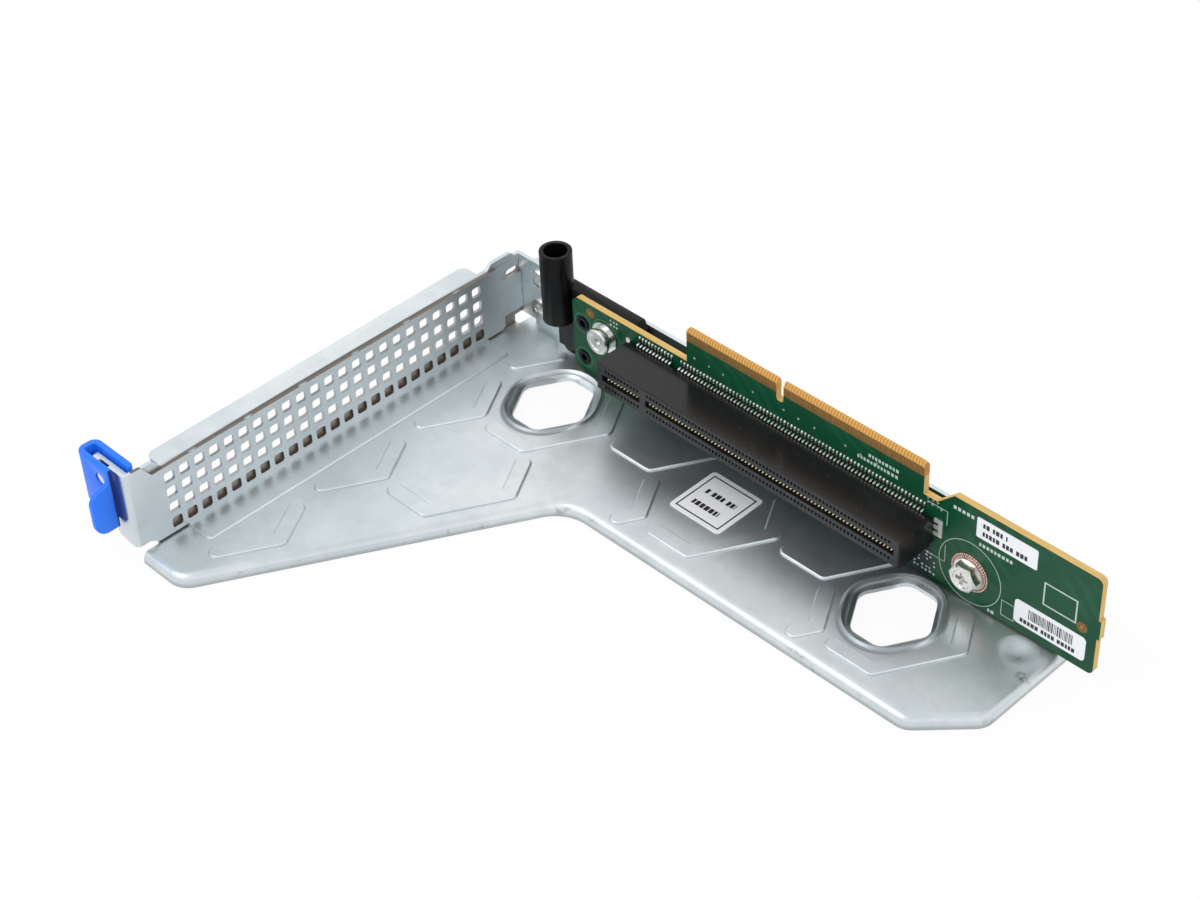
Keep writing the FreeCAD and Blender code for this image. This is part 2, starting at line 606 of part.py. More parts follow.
def tray_blank(body):
    """Floor with its rolled rim, open at the end wall and the back wall."""
    past = "20"

    def draw(sketch):
        outline(sketch, [
            ("end_wall_x - " + past, "tray_front"),
            ("front_end_x", "tray_front", "slant_round"),
            ("slant_end_x", "long_rim_y", "inner_round"),
            ("tray_right - corner_chamfer", "long_rim_y", "chamfer_round"),
            ("tray_right", "long_rim_y + corner_chamfer", "chamfer_round"),
            ("tray_right", "back_wall_y + " + past),
            ("end_wall_x - " + past, "back_wall_y + " + past),
        ])

    block = pad(body, "blank", "XY", "0", "floor_top", draw)
    left = value("end_wall_x - " + past)
    back = value("back_wall_y + " + past)

    def on_rim(edge, middle):
        outer = abs(middle.x - left) < 1e-3 or abs(middle.y - back) < 1e-3
        return lies_at(middle.z, "floor_top") and not outer

    rolled = dress(body, "Fillet", "rolled_rim", block, edges_where(block, on_rim), "rim_roll")
    open_faces = []
    for index, face in enumerate(rolled.Shape.Faces, start=1):
        middle = face.CenterOfMass
        if abs(middle.z) < 1e-3 or abs(middle.x - left) < 1e-3 or abs(middle.y - back) < 1e-3:
            open_faces.append("Face%d" % index)
    shell = body.newObject("PartDesign::Thickness", "sheet")
    shell.Base = (rolled, open_faces)
    shell.setExpression("Value", bound("sheet_gauge"))
    shell.Reversed = True
    shell.Join = "Arc"
    doc.recompute()

    def draw_offcut(sketch):
        outline(sketch, [
            ("end_wall_x - 2 * " + past, "tray_front - " + past),
            ("end_wall_x", "tray_front - " + past),
            ("end_wall_x", "back_wall_y"),
            ("tray_right + " + past, "back_wall_y"),
            ("tray_right + " + past, "back_wall_y + 2 * " + past),
            ("end_wall_x - 2 * " + past, "back_wall_y + 2 * " + past),
        ])

    pocket(body, "offcut", "XY", "-1", "floor_top + 1", draw_offcut)


def tray_walls(body):
    """End wall with its window, the flange, the wing, the back wall and the ear."""
    flange_z = "floor_top + wall_height"
    under = "floor_top - sheet_gauge"
    hump_end = "back_inner_y - hump_back"
    hump_start = hump_end + " - hump_length"

    def draw_end_wall(sketch):
        outline(sketch, [
            ("foot_start_y", under),
            ("foot_stop_y", under),
            ("foot_stop_y", "floor_top + wing_clear"),
            ("back_inner_y", "floor_top + wing_clear"),
            ("back_inner_y", flange_z),
            (hump_end, flange_z),
            (hump_end + " - right_hump", flange_z + " + right_hump"),
            (hump_start + " + right_hump", flange_z + " + right_hump"),
            (hump_start, flange_z),
            ("ear_front_y + flange_start", flange_z),
            ("ear_front_y + flange_start - left_hump", flange_z + " + left_hump"),
            ("ear_front_y", flange_z + " + left_hump"),
            ("ear_front_y", "floor_top + wing_clear"),
            ("foot_start_y", "floor_top + wing_clear"),
        ])
        outline(sketch, rectangle(
            "ear_front_y + window_left", "floor_top + window_sill",
            "ear_front_y + window_left + window_width",
            "floor_top + window_sill + window_height", "window_round"))
        outline(sketch, rectangle(
            "wing_front_y - wall_slot_width", "floor_top + wall_slot_level - wall_slot_height / 2",
            "wing_front_y - wall_slot_clear",
            "floor_top + wall_slot_level + wall_slot_height / 2",
            "0.45 * wall_slot_height"))

    pad(body, "end_wall", "YZ", "end_wall_x", "wall_inner_x", draw_end_wall)

    def draw_flange(sketch):
        near_y = "ear_front_y + flange_start"
        far_y = near_y + " + flange_length"
        outline(sketch, [
            ("end_wall_x - flange_reach", near_y, "flange_round"),
            ("wall_inner_x", near_y),
            ("wall_inner_x", far_y),
            ("end_wall_x - flange_reach", far_y, "flange_round"),
        ])

    pad(body, "flange", "XY", flange_z + " - sheet_gauge", flange_z, draw_flange)

    def draw_wing(sketch):
        outline(sketch, [
            ("end_wall_x", "floor_top + wing_clear"),
            ("end_wall_x + wing_reach", "floor_top + wing_clear", "corner_round"),
            ("end_wall_x + wing_reach", flange_z, "corner_round"),
            ("end_wall_x", flange_z),
        ])

    pad(body, "wing", "XZ", "wing_front_y", "back_inner_y", draw_wing)

    def draw_back_wall(sketch):
        outline(sketch, [
            ("end_wall_x + back_wall_start", under),
            ("tray_right - back_wall_stop", under),
            ("tray_right - back_wall_stop", "floor_top + back_wall_height", "corner_round"),
            ("end_wall_x + back_wall_start", "floor_top + back_wall_height", "corner_round"),
        ])

    pad(body, "back_wall", "XZ", "back_inner_y", "back_wall_y", draw_back_wall)

    def draw_ear(sketch):
        outline(sketch, [
            ("end_wall_x - ear_reach", flange_z + " + left_hump - ear_height", "corner_round"),
            ("wall_inner_x", flange_z + " + left_hump - ear_height"),
            ("wall_inner_x", flange_z + " + left_hump"),
            ("end_wall_x - ear_reach", flange_z + " + left_hump", "corner_round"),
        ])

    pad(body, "ear", "XZ", "ear_front_y", "ear_back_y", draw_ear)


def tray_openings(body):
    """Reliefs at the bends, the tongue's slit and the holes for stud, rivets and screw."""
    def draw_relief(sketch):
        outline(sketch, [
            ("end_wall_x - 1", "foot_start_y - relief_width"),
            ("end_wall_x + relief_depth", "foot_start_y - relief_width", "relief_round"),
            ("end_wall_x + relief_depth", "foot_start_y", "relief_round"),
            ("end_wall_x - 1", "foot_start_y"),
        ])
        outline(sketch, [
            ("end_wall_x - 1", "foot_stop_y"),
            ("end_wall_x + back_relief_depth", "foot_stop_y", "relief_round"),
            ("end_wall_x + back_relief_depth", "back_wall_y + 1"),
            ("end_wall_x - 1", "back_wall_y + 1"),
        ])

    pocket(body, "reliefs", "XY", "-1", "floor_top + 0.5", draw_relief)

    def draw_slit(sketch):
        outline(sketch, rectangle(
            "wall_inner_x", "cover_bottom + tongue_level - 0.1",
            "cover_inner_x + 0.1", "cover_bottom + tongue_level + tongue_width + 0.1"))

    pocket(body, "slit", "XZ", "wing_front_y - 0.5", "back_inner_y + 0.5", draw_slit)

    def draw_rivet_holes(sketch):
        circle(sketch, "rivet_axis_x", "floor_top + upper_rivet", "rivet_shank_radius")
        circle(sketch, "rivet_axis_x", "floor_top + lower_rivet", "rivet_shank_radius")

    pocket(body, "rivet_holes", "XZ", "wing_front_y - 0.5", "back_wall_y + 0.5", draw_rivet_holes)

    def draw_screw_hole(sketch):
        circle(sketch, "screw_axis_x", "screw_axis_z", "screw_shank_radius")

    pocket(body, "screw_hole", "XZ", "back_inner_y - 0.5", "back_wall_y + 0.5", draw_screw_hole)

    def draw_stud_hole(sketch):
        circle(sketch, "stud_x", "stud_z", "stud_radius")

    return pocket(body, "stud_hole", "XZ", "ear_front_y - 0.2", "ear_back_y + 0.2", draw_stud_hole)


def tray_bends(body, last):
    """Rounded bends between the floor and the walls, and at the flange, wing and ear."""
    under = value("floor_top - sheet_gauge")

    def outer(edge, middle):
        straight = edge.Curve.TypeId == "Part::GeomLine" and edge.Length > 3
        low = abs(middle.z - under) < 1e-3
        foot = low and (lies_at(middle.x, "end_wall_x") or lies_at(middle.y, "back_wall_y"))
        lip = lies_at(middle.z, "floor_top + wall_height") and lies_at(middle.x, "wall_inner_x")
        corner = lies_at(middle.x, "end_wall_x") and lies_at(middle.y, "back_inner_y")
        ear = lies_at(middle.x, "wall_inner_x") and lies_at(middle.y, "ear_front_y")
        return straight and (foot or (lip and edge.Length > 50) or corner or ear)

    return dress(body, "Fillet", "bends", last, edges_where(last, outer), "inner_bend_round")


def rib_paths():
    """Middle lines of the ribs, on a honeycomb lattice."""
    across = value("rib_pitch") * math.cos(math.radians(30))
    pitch = value("rib_pitch")
    upper = value("rib_upper_arm")
    lower = value("rib_lower_arm")
    long_arm = value("rib_long_arm")
    hook = value("rib_hook")
    first_x = value("end_wall_x + rib_first_x")
    first_y = value("tray_front + rib_first_y")
    rim_limit = value("long_rim_y + rim_roll + rib_width / 2")
    back_limit = value("back_inner_y - bend_round - rib_width")
    up_left = FreeCAD.Vector(math.cos(math.radians(120)), math.sin(math.radians(120)), 0)
    down_left = FreeCAD.Vector(up_left.x, -up_left.y, 0)
    left = FreeCAD.Vector(-1, 0, 0)
    paths = []
    for column, row, hooked in (
            (0, 0, False), (0, 1, False), (0, 2, False), (0, 3, False),
            (1, 1, True), (1, 2, True), (2, 2, False), (2, 3, True),
            (3, 2, True), (4, 2, False), (4, 3, True), (5, 2, True)):
        vertex = FreeCAD.Vector(
            first_x + column * across,
            first_y + (row + 0.5 * (column % 2)) * pitch, 0)
        arm = long_arm if hooked else lower
        if column in (2, 4) and not hooked:
            arm = min(arm, (vertex.y - rim_limit) / abs(down_left.y))
        points = [vertex + up_left * upper, vertex, vertex + down_left * arm]
        if vertex.y > back_limit:
            start = (vertex.y - back_limit) / abs(down_left.y)
            points = [vertex + down_left * start, points[2]]
        if hooked:
            points.append(points[-1] + left * hook)
        paths.append(points)
    return paths


def edged(face, level, rise, edge):
    """A low plateau over a face, its upper edge sloped."""
    block = face.extrude(FreeCAD.Vector(0, 0, rise))
    block.translate(FreeCAD.Vector(0, 0, level))
    top = [one for one in block.Edges if abs(one.CenterOfMass.z - level - rise) < 1e-4]
    return block.makeChamfer(edge, top)


def straight_outline(start, end, reach):
    """Round-ended outline about one straight line."""
    along = (end - start).normalize() * reach
    aside = FreeCAD.Vector(-along.y, along.x, 0)
    sides = [Part.LineSegment(start - aside, end - aside),
             Part.Arc(end - aside, end + along, end + aside),
             Part.LineSegment(end + aside, start + aside),
             Part.Arc(start + aside, start - along, start - aside)]
    return Part.Wire([side.toShape() for side in sides])


def rib_faces(width):
    """Outline of each rib, with round ends."""
    faces = []
    for points in rib_paths():
        if len(points) == 2:
            around = straight_outline(points[0], points[1], width / 2)
        else:
            around = Part.makePolygon(points).makeOffset2D(width / 2, 0, False, False)
        faces.append(Part.Face(around))
    return faces


def strip_face(inset):
    """The raised strip along the foot of the end wall."""
    x0 = value("wall_inner_x")
    x1 = value("wall_inner_x + strip_width") - inset
    y0 = value("ear_front_y + strip_start") + inset
    y1 = value("ear_front_y + strip_start + strip_length") - inset
    round_off = value("strip_round")
    box = Part.makeBox(x1 - x0, y1 - y0, 1, FreeCAD.Vector(x0, y0, 0))
    corners = [one for one in box.Edges
               if abs(one.CenterOfMass.x - x1) < 1e-4 and abs(one.CenterOfMass.z - 0.5) < 1e-4]
    box = box.makeFillet(round_off, corners)
    return min(box.Faces, key=lambda one: one.CenterOfMass.z)


def stretched_hexagon(half_width, half_height, corner, level, centre):
    """Hexagon with points along X, as wide and high as told over its rounded corners."""
    slope = math.radians(60)
    tip = half_width + corner * (1 / math.sin(slope) - 1)
    waist = tip - half_height / math.tan(slope)
    points = [(tip, 0), (waist, half_height), (-waist, half_height),
              (-tip, 0), (-waist, -half_height), (waist, -half_height)]
    corners = [centre + FreeCAD.Vector(x, y, level) for x, y in points]
    wire = Part.makePolygon(corners + corners[:1])
    solid = Part.Face(wire).extrude(FreeCAD.Vector(0, 0, 1))
    upright = [one for one in solid.Edges if abs(one.CenterOfMass.z - level - 0.5) < 1e-4]
    solid = solid.makeFillet(corner, upright)
    base = min(solid.Faces, key=lambda one: one.CenterOfMass.z)
    return base.OuterWire


def solid_between(lower, upper):
    """Straight-sided solid between two matching outlines."""
    return Part.makeLoft([lower, upper], True, True)


def hole_centre(index):
    """Middle of a flared hole, at the floor's top."""
    return FreeCAD.Vector(
        value("end_wall_x + hole_first") + index * value("hole_spacing"),
        value("back_wall_y - hole_back"), 0)


def flare_outlines(centre, drop):
    """Outlines of a flared hole's foot, crest and edge, lowered by drop."""
    top = value("floor_top") - drop
    crest = value("lip_half_width"), value("lip_half_height")
    spread = value("lip_base")
    opening = value("hole_half_width"), value("hole_half_height"), value("hole_corner")
    crest_round = value("lip_round")
    foot = stretched_hexagon(crest[0] + spread, crest[1] + spread, crest_round + spread, top,
                             centre)
    ridge = stretched_hexagon(crest[0], crest[1], crest_round, top + value("lip_rise"), centre)
    edge = stretched_hexagon(*opening, top - value("funnel_depth"), centre)
    return foot, ridge, edge


def flared_ring(centre):
    """The formed sheet round one hole: up to the lip's crest, then down into the opening."""
    gauge = value("sheet_gauge")
    foot, ridge, edge = flare_outlines(centre, 0)
    foot_below, ridge_below, edge_below = flare_outlines(centre, gauge)
    body = solid_between(foot_below, foot)
    body = body.fuse(solid_between(foot, ridge))
    funnel = solid_between(edge_below, ridge_below)
    hollow = solid_between(foot_below, ridge_below).cut(funnel)
    body = body.fuse(funnel).cut(hollow)
    return body.cut(solid_between(edge, ridge)).cut(opening_prism(centre))


def opening_prism(centre):
    """The through opening of a flared hole."""
    bottom = stretched_hexagon(value("hole_half_width"), value("hole_half_height"),
                               value("hole_corner"), value("floor_top") - 4, centre)
    return Part.Face(bottom).extrude(FreeCAD.Vector(0, 0, 8))


def flare_plug(centre):
    """What the flat floor loses under a flared ring."""
    foot = flare_outlines(centre, 2 * value("sheet_gauge"))[0]
    return Part.Face(foot).extrude(FreeCAD.Vector(0, 0, 3 * value("sheet_gauge")))


def dimple(level):
    """Round hollow below a level, its side a smooth wave that meets the floor at a low angle."""
    depth = value("dimple_depth")
    radius = value("dimple_radius")
    steps = 6
    reach = 1.12 * radius
    lip = math.cos(math.pi * radius / reach)
    points = []
    for index in range(steps + 1):
        out = radius * index / steps
        share = (math.cos(math.pi * out / reach) - lip) / (1 - lip)
        points.append(FreeCAD.Vector(out, 0, -depth * share))
    wave = Part.BSplineCurve()
    wave.interpolate(points)
    rim = FreeCAD.Vector(radius, 0, 0)
    middle = FreeCAD.Vector(0, 0, 0)
    profile = Part.Wire([wave.toShape(), Part.LineSegment(rim, middle).toShape(),
                         Part.LineSegment(middle, points[0]).toShape()])
    hollow = Part.Face(profile).revolve(middle, FreeCAD.Vector(0, 0, 1), 360)
    hollow.translate(FreeCAD.Vector(
        value("tray_right - dimple_from_right"),
        value("back_wall_y - dimple_from_back"), level))
    return hollow


def build_tray():
    """The stamped sheet, with its ribs, strip, flared holes and dimple."""
    body = new_body("tray_sheet")
    tray_blank(body)
    tray_walls(body)
    tray_bends(body, tray_openings(body))
    gauge = value("sheet_gauge")
    rise = value("rib_rise")
    edge = value("rib_edge")
    top = value("floor_top")
    centres = [hole_centre(0), hole_centre(1)]
    raised = [edged(face, top, rise, edge) for face in rib_faces(value("rib_width"))]
    raised.append(edged(strip_face(0), top, rise, edge))
    raised.append(dimple(top - gauge))
    raised += [flared_ring(centre) for centre in centres]
    inner_width = value("rib_width") - gauge
    sunk = [edged(face, top - gauge, rise, edge) for face in rib_faces(inner_width)]
    sunk.append(edged(strip_face(gauge / 2), top - gauge, rise, edge))
    sunk.append(dimple(top))
    plugs = keep("flare_plugs", Part.makeCompound([flare_plug(centre) for centre in centres]))
    flat = doc.addObject("Part::Cut", "pierced_sheet")
    flat.Base = body
    flat.Tool = plugs
    ridges = keep("raised_forms", Part.makeCompound(raised))
    formed = doc.addObject("Part::Fuse", "formed_sheet")
    formed.Base = flat
    formed.Tool = ridges
    hollows = keep("sunk_forms", Part.makeCompound(sunk))
    tray = doc.addObject("Part::Cut", "base_tray")
    tray.Base = formed
    tray.Tool = hollows
    doc.recompute()
    return tray


def build_cover():
    """Perforated slot cover: flat blade, bent tab with a screw notch, and a tongue."""
    body = new_body("slot_cover")
    top = "cover_bottom + cover_height"
    foot = "cover_bottom + cover_step"
    tongue = "cover_bottom + tongue_level"

    def draw_blade(sketch):
        outline(sketch, [
            ("cover_tab_front", foot),
            ("cover_tab_front + cover_neck", foot, "cover_round"),
            ("cover_tab_front + cover_neck + cover_notch", "cover_bottom", "cover_round"),
            ("cover_shoulder_y - shoulder_cut", "cover_bottom"),
            ("cover_shoulder_y", "cover_bottom + shoulder_cut"),
            ("cover_shoulder_y", tongue),
            ("tongue_end_y - tongue_cut", tongue),
            ("tongue_end_y", tongue + " + tongue_cut"),
            ("tongue_end_y", tongue + " + tongue_width - tongue_cut"),
            ("tongue_end_y - tongue_cut", tongue + " + tongue_width"),
            ("cover_shoulder_y", tongue + " + tongue_width"),
            ("cover_shoulder_y", top + " - shoulder_drop"),
            ("cover_shoulder_y - shoulder_slope", top),
            ("cover_tab_front + cover_crown + cover_notch", top, "cover_round"),
            ("cover_tab_front + cover_crown", "tab_top", "cover_round"),
            ("cover_tab_front", "tab_top"),
        ])

    pad(body, "blade", "YZ", "wall_inner_x", "cover_inner_x", draw_blade)

    def draw_tab(sketch):
        outline(sketch, [
            ("cover_inner_x", foot),
            ("cover_inner_x", "tab_top"),
            ("stud_x + notch_half", "tab_top"),
            ("stud_x + notch_half", "stud_z - notch_half"),
            ("stud_x - notch_half", "stud_z - notch_half"),
            ("stud_x - notch_half", "tab_top"),
            ("cover_inner_x - tab_reach", "tab_top", "cover_round"),
            ("cover_inner_x - tab_reach", "tab_top - tab_side", "cover_round"),
            ("cover_inner_x - tab_foot_reach", "tab_top - tab_side - tab_slope"),
            ("cover_inner_x - tab_foot_reach", foot + " + 1", "cover_round"),
        ])

    folded = pad(body, "tab", "XZ", "cover_tab_front", "cover_tab_back", draw_tab)

    def outer_bend(edge, middle):
        return lies_at(middle.x, "cover_inner_x") and lies_at(middle.y, "cover_tab_front")

    bent = dress(body, "Fillet", "outer_bend", folded, edges_where(folded, outer_bend), "cover_bend")

    def inner_bend(edge, middle):
        return lies_at(middle.x, "wall_inner_x") and lies_at(middle.y, "cover_tab_back")

    dress(body, "Fillet", "inner_bend", bent, edges_where(bent, inner_bend),
          "cover_bend - cover_gauge")

    def draw_hole(sketch):
        middle = ("cover_tab_front + first_column", "cover_bottom + first_row")
        outer = "hole_side / 2"
        inner = "(hole_side / 2 - hole_cut)"
        corners = []
        for across, up in ((inner, "-" + outer), (outer, "-" + inner), (outer, inner),
                           (inner, outer), ("-" + inner, outer), ("-" + outer, inner),
                           ("-" + outer, "-" + inner), ("-" + inner, "-" + outer)):
            corners.append((middle[0] + " + " + across, middle[1] + " + " + up))
        outline(sketch, corners)

    hole = pocket(body, "perforation", "YZ", "wall_inner_x - 0.1", "cover_inner_x + 0.1", draw_hole)
    grid = body.newObject("PartDesign::MultiTransform", "perforations")
    grid.Originals = [hole]
    steps = []
    for name, axis, count, pitch in (("columns", "H_Axis", "column_count", "column_pitch"),
                                     ("rows", "V_Axis", "row_count", "row_pitch")):
        step = body.newObject("PartDesign::LinearPattern", name)
        step.Direction = (hole.Profile[0], [axis])
        step.setExpression("Length", bound("(%s - 1) * %s" % (count, pitch)))
        step.setExpression("Occurrences", bound(count))
        steps.append(step)
    grid.Transformations = steps
    body.Tip = grid
    doc.recompute()
    return body


def build_cap():
    """Pull cap: a sleeve over the tab and the ear, with a plate to pull at."""
    body = new_body("pull_cap")

    def draw_block(sketch):
        outline(sketch, [
            ("cap_left_x", "cap_front_y", "cap_round"),
            ("cap_right_x", "cap_front_y"),
            ("cap_right_x", "cap_back_y", "cap_round / 2"),
            ("cap_left_x", "cap_back_y", "cap_round"),
        ])

    pad(body, "block", "XY", "cap_top - cap_height", "cap_top", draw_block)

    def draw_cavity(sketch):
        outline(sketch, [
            ("cap_left_x + cap_side_wall", "cover_tab_front", "cap_inner_round"),
            ("cap_right_x + 1", "cover_tab_front"),
            ("cap_right_x + 1", "cap_back_y - cap_back_wall"),
            ("cap_left_x + cap_side_wall", "cap_back_y - cap_back_wall", "cap_inner_round"),
        ])

    pocket(body, "cavity", "XY", "cap_top - cap_height - 1", "cap_top + 1", draw_cavity)

    def draw_step(sketch):
        outline(sketch, rectangle(
            "cap_right_x - cap_recess_width", "cap_front_y - 1",
            "cap_right_x + 1", "cap_front_y + cap_recess"))

    pocket(body, "step", "XY", "cap_top - cap_height - 1", "cap_top + 1", draw_step)

    def draw_grip(sketch):
        outline(sketch, [
            ("cap_front_y + cap_recess", "cap_top - grip_drop - grip_height"),
            ("cap_front_y + cap_recess", "cap_top - grip_drop"),
            ("cap_front_y", "cap_top - grip_drop"),
            ("cap_front_y - grip_reach", "cap_top - grip_drop - grip_slope", "grip_round"),
            ("cap_front_y - grip_reach", "cap_top - grip_drop - grip_height", "grip_round"),
        ])

    pad(body, "grip", "YZ", "cap_right_x - cap_recess_width - grip_thickness",
        "cap_right_x - cap_recess_width", draw_grip)

    def draw_eye(sketch):
        circle(sketch, "stud_x", "stud_z", "stud_radius + stud_play")

    pocket(body, "eye", "XZ", "cap_front_y - 1", "cover_tab_front + 0.1", draw_eye)
    return body


def turned(label, corners, x, y, z):
    """A turned piece whose axis points to the back wall: corners are (radius, distance)."""
    body = new_body(label)
    revolve(body, label + "_turning", corners)
    body.Placement = FreeCAD.Placement(FreeCAD.Vector(0, 0, 0), BACKWARDS)
    place(body, x, y, z)
    doc.recompute()
    return body


def build_stud():
    """Stud riveted into the ear; its tip shows in the cap's eye."""
    return turned("ear_stud", [
        ("0", "cap_front_y + stud_sunk - ear_back_y"),
        ("stud_radius", "cap_front_y + stud_sunk - ear_back_y"),
        ("stud_radius", "0"),
        ("stud_head", "0"),
        ("stud_head", "stud_head_height"),
        ("0", "stud_head_height"),
    ], "stud_x", "ear_back_y", "stud_z")


def build_rivet(label, level):
    """Rivet through the wing and the back wall."""
    return turned(label, [
        ("0", "-rivet_head - rivet_dome_height"),
        ("rivet_dome", "-rivet_head"),
        ("rivet_radius - rivet_edge", "-rivet_head"),
        ("rivet_radius", "rivet_edge - rivet_head"),
        ("rivet_radius", "0"),
        ("rivet_shank_radius", "0"),
        ("rivet_shank_radius", "2 * sheet_gauge"),
        ("rivet_shank_radius + rivet_tail", "2 * sheet_gauge"),
        ("0", "2 * sheet_gauge + rivet_tail"),
    ], "rivet_axis_x", "wing_front_y", "floor_top + " + level)


def build_board():
    """Board with its finger tab, key notch, bevel and holes."""
    body = new_body("riser_board")

    def draw(sketch):
        outline(sketch, [
            ("board_left_x", "board_bottom", "board_left_round"),
            ("board_right_x", "board_bottom", "board_right_round"),
            ("board_right_x", "board_bottom + nib_level"),
            ("board_right_x + nib_reach", "board_bottom + nib_level"),
            ("board_right_x + nib_reach", "board_bottom + nib_level + nib_height"),
            ("board_right_x", "board_bottom + nib_level + nib_height"),
            ("board_right_x", "board_right_top", "board_right_round"),
            ("tab_right_x + dip_width + dip_slope", "board_right_top"),
            ("tab_right_x + dip_width", "board_bottom + dip_height"),
            ("tab_right_x", "board_bottom + dip_height"),
            ("tab_right_x", "tab_top_z", "tab_round"),
            ("notch_x + notch_width / 2", "tab_top_z"),
            ("notch_x + notch_width / 2", "tab_top_z - notch_depth", "notch_round"),
            ("notch_x - notch_width / 2", "tab_top_z - notch_depth", "notch_round"),
            ("notch_x - notch_width / 2", "tab_top_z"),
            ("tab_left_x", "tab_top_z", "tab_round"),
            ("tab_left_x", "board_bottom + board_low_height"),
            ("board_left_x + board_left_cut", "board_bottom + board_low_height"),
            ("board_left_x", "board_bottom + board_low_height - board_left_cut"),
        ])

    pad(body, "blank", "XZ", "board_front_y", "board_back_y", draw)

    def draw_front_bevel(sketch):
        outline(sketch, [
            ("board_front_y - 0.1", "tab_top_z - tab_bevel_height"),
            ("board_front_y", "tab_top_z - tab_bevel_height"),
            ("board_front_y + tab_bevel", "tab_top_z"),
            ("board_front_y + tab_bevel", "tab_top_z + 0.1"),
            ("board_front_y - 0.1", "tab_top_z + 0.1"),
        ])

    pocket(body, "front_bevel", "YZ", "tab_left_x - 1", "tab_right_x + 1", draw_front_bevel)

    def draw_back_bevel(sketch):
        outline(sketch, [
            ("board_back_y + 0.1", "tab_top_z - tab_bevel_height"),
            ("board_back_y", "tab_top_z - tab_bevel_height"),
            ("board_back_y - tab_bevel", "tab_top_z"),
            ("board_back_y - tab_bevel", "tab_top_z + 0.1"),
            ("board_back_y + 0.1", "tab_top_z + 0.1"),
        ])

    pocket(body, "back_bevel", "YZ", "tab_left_x - 1", "tab_right_x + 1", draw_back_bevel)

    def draw_holes(sketch):
        circle(sketch, "board_left_x + carrier_pin_x", "board_bottom + upper_pin_level",
               "carrier_pin_radius + pin_fit")
        circle(sketch, "board_left_x + carrier_pin_x", "board_bottom + lower_pin_level",
               "carrier_pin_radius + pin_fit")
        circle(sketch, "board_left_x + bolt_x", "board_bottom + bolt_level", "bolt_shank_radius")
        circle(sketch, "screw_axis_x", "screw_axis_z", "screw_shank_radius")

    pocket(body, "holes", "XZ", "board_front_y - 0.5", "board_back_y + 0.5", draw_holes)
    return body


def finger_starts():
    """Left edges of all fingers along the tab."""
    pitch = value("finger_pitch")
    left = value("tab_left_x + finger_first_left")
    right = value("notch_x + finger_first_right")
    starts = [left + pitch * index for index in range(int(value("fingers_left")))]
    return starts + [right + pitch * index for index in range(int(value("fingers_right")))]


def build_fingers(label, y):
    """Gold fingers on one side of the tab, each a thin plate."""
    width = value("finger_width")
    height = value("finger_height")
    gauge = value("finger_relief")
    level = value("tab_top_z - finger_below_edge") - height
    plates = [Part.makeBox(width, gauge, height, FreeCAD.Vector(start, value(y), level))
              for start in finger_starts()]
    return keep(label, Part.makeCompound(plates))


def contact_places():
    """Each contact's middle along X: a short run, the key, then a long run."""
    pitch = value("contact_pitch")
    first = value("contact_x")
    short = int(value("contacts_left"))
    second = first + (short - 1) * pitch + value("key_span")
    places = [first + pitch * index for index in range(short)]
    return places + [second + pitch * index for index in range(int(value("contacts_right")))]


def strip_outline(points, gauge):
    """Outline of a bent strip of sheet along middle points (y, z)."""
    line = [FreeCAD.Vector(0, y, z) for y, z in points]
    sides = [[], []]
    for index, point in enumerate(line):
        into = (point - line[index - 1]).normalize() if index else None
        out = (line[index + 1] - point).normalize() if index + 1 < len(line) else into
        into = into or out
        middle = (into + out).normalize()
        normal = FreeCAD.Vector(0, -middle.z, middle.y)
        half = gauge / 2 / math.cos(into.getAngle(out) / 2)
        sides[0].append(point + normal * half)
        sides[1].append(point - normal * half)
    corners = sides[0] + sides[1][::-1]
    return Part.Face(Part.makePolygon(corners + corners[:1]))


def build_contacts(label, side):
    """One row of contacts: tip in the slot, strip through the housing, lead on the board."""
    middle = value("slot_z")
    row = value("contact_row")
    gauge = value("contact_gauge")
    width = value("contact_width")
    tip_y = value("housing_front_y + contact_tip_depth")
    wide = value("housing_top") if side > 0 else value("housing_bottom")
    back = value("housing_back_y") + gauge
    board = value("board_front_y") - gauge / 2
    knee = wide + side * value("lead_knee")
    toe = wide + side * value("lead_reach")
    profile = strip_outline([
        (tip_y, middle + side * (row - value("contact_tip_rise"))),
        (tip_y + value("contact_spring"), middle + side * row),
        (back, middle + side * row),
        (back, knee),
        (board, knee + side * value("lead_slope")),
        (board, toe),
    ], gauge)
    strip = profile.extrude(FreeCAD.Vector(width, 0, 0))
    strips = []
    for place_x in contact_places():
        copy = strip.copy()
        copy.translate(FreeCAD.Vector(place_x - width / 2, 0, 0))
        strips.append(copy)
    return keep(label, Part.makeCompound(strips))


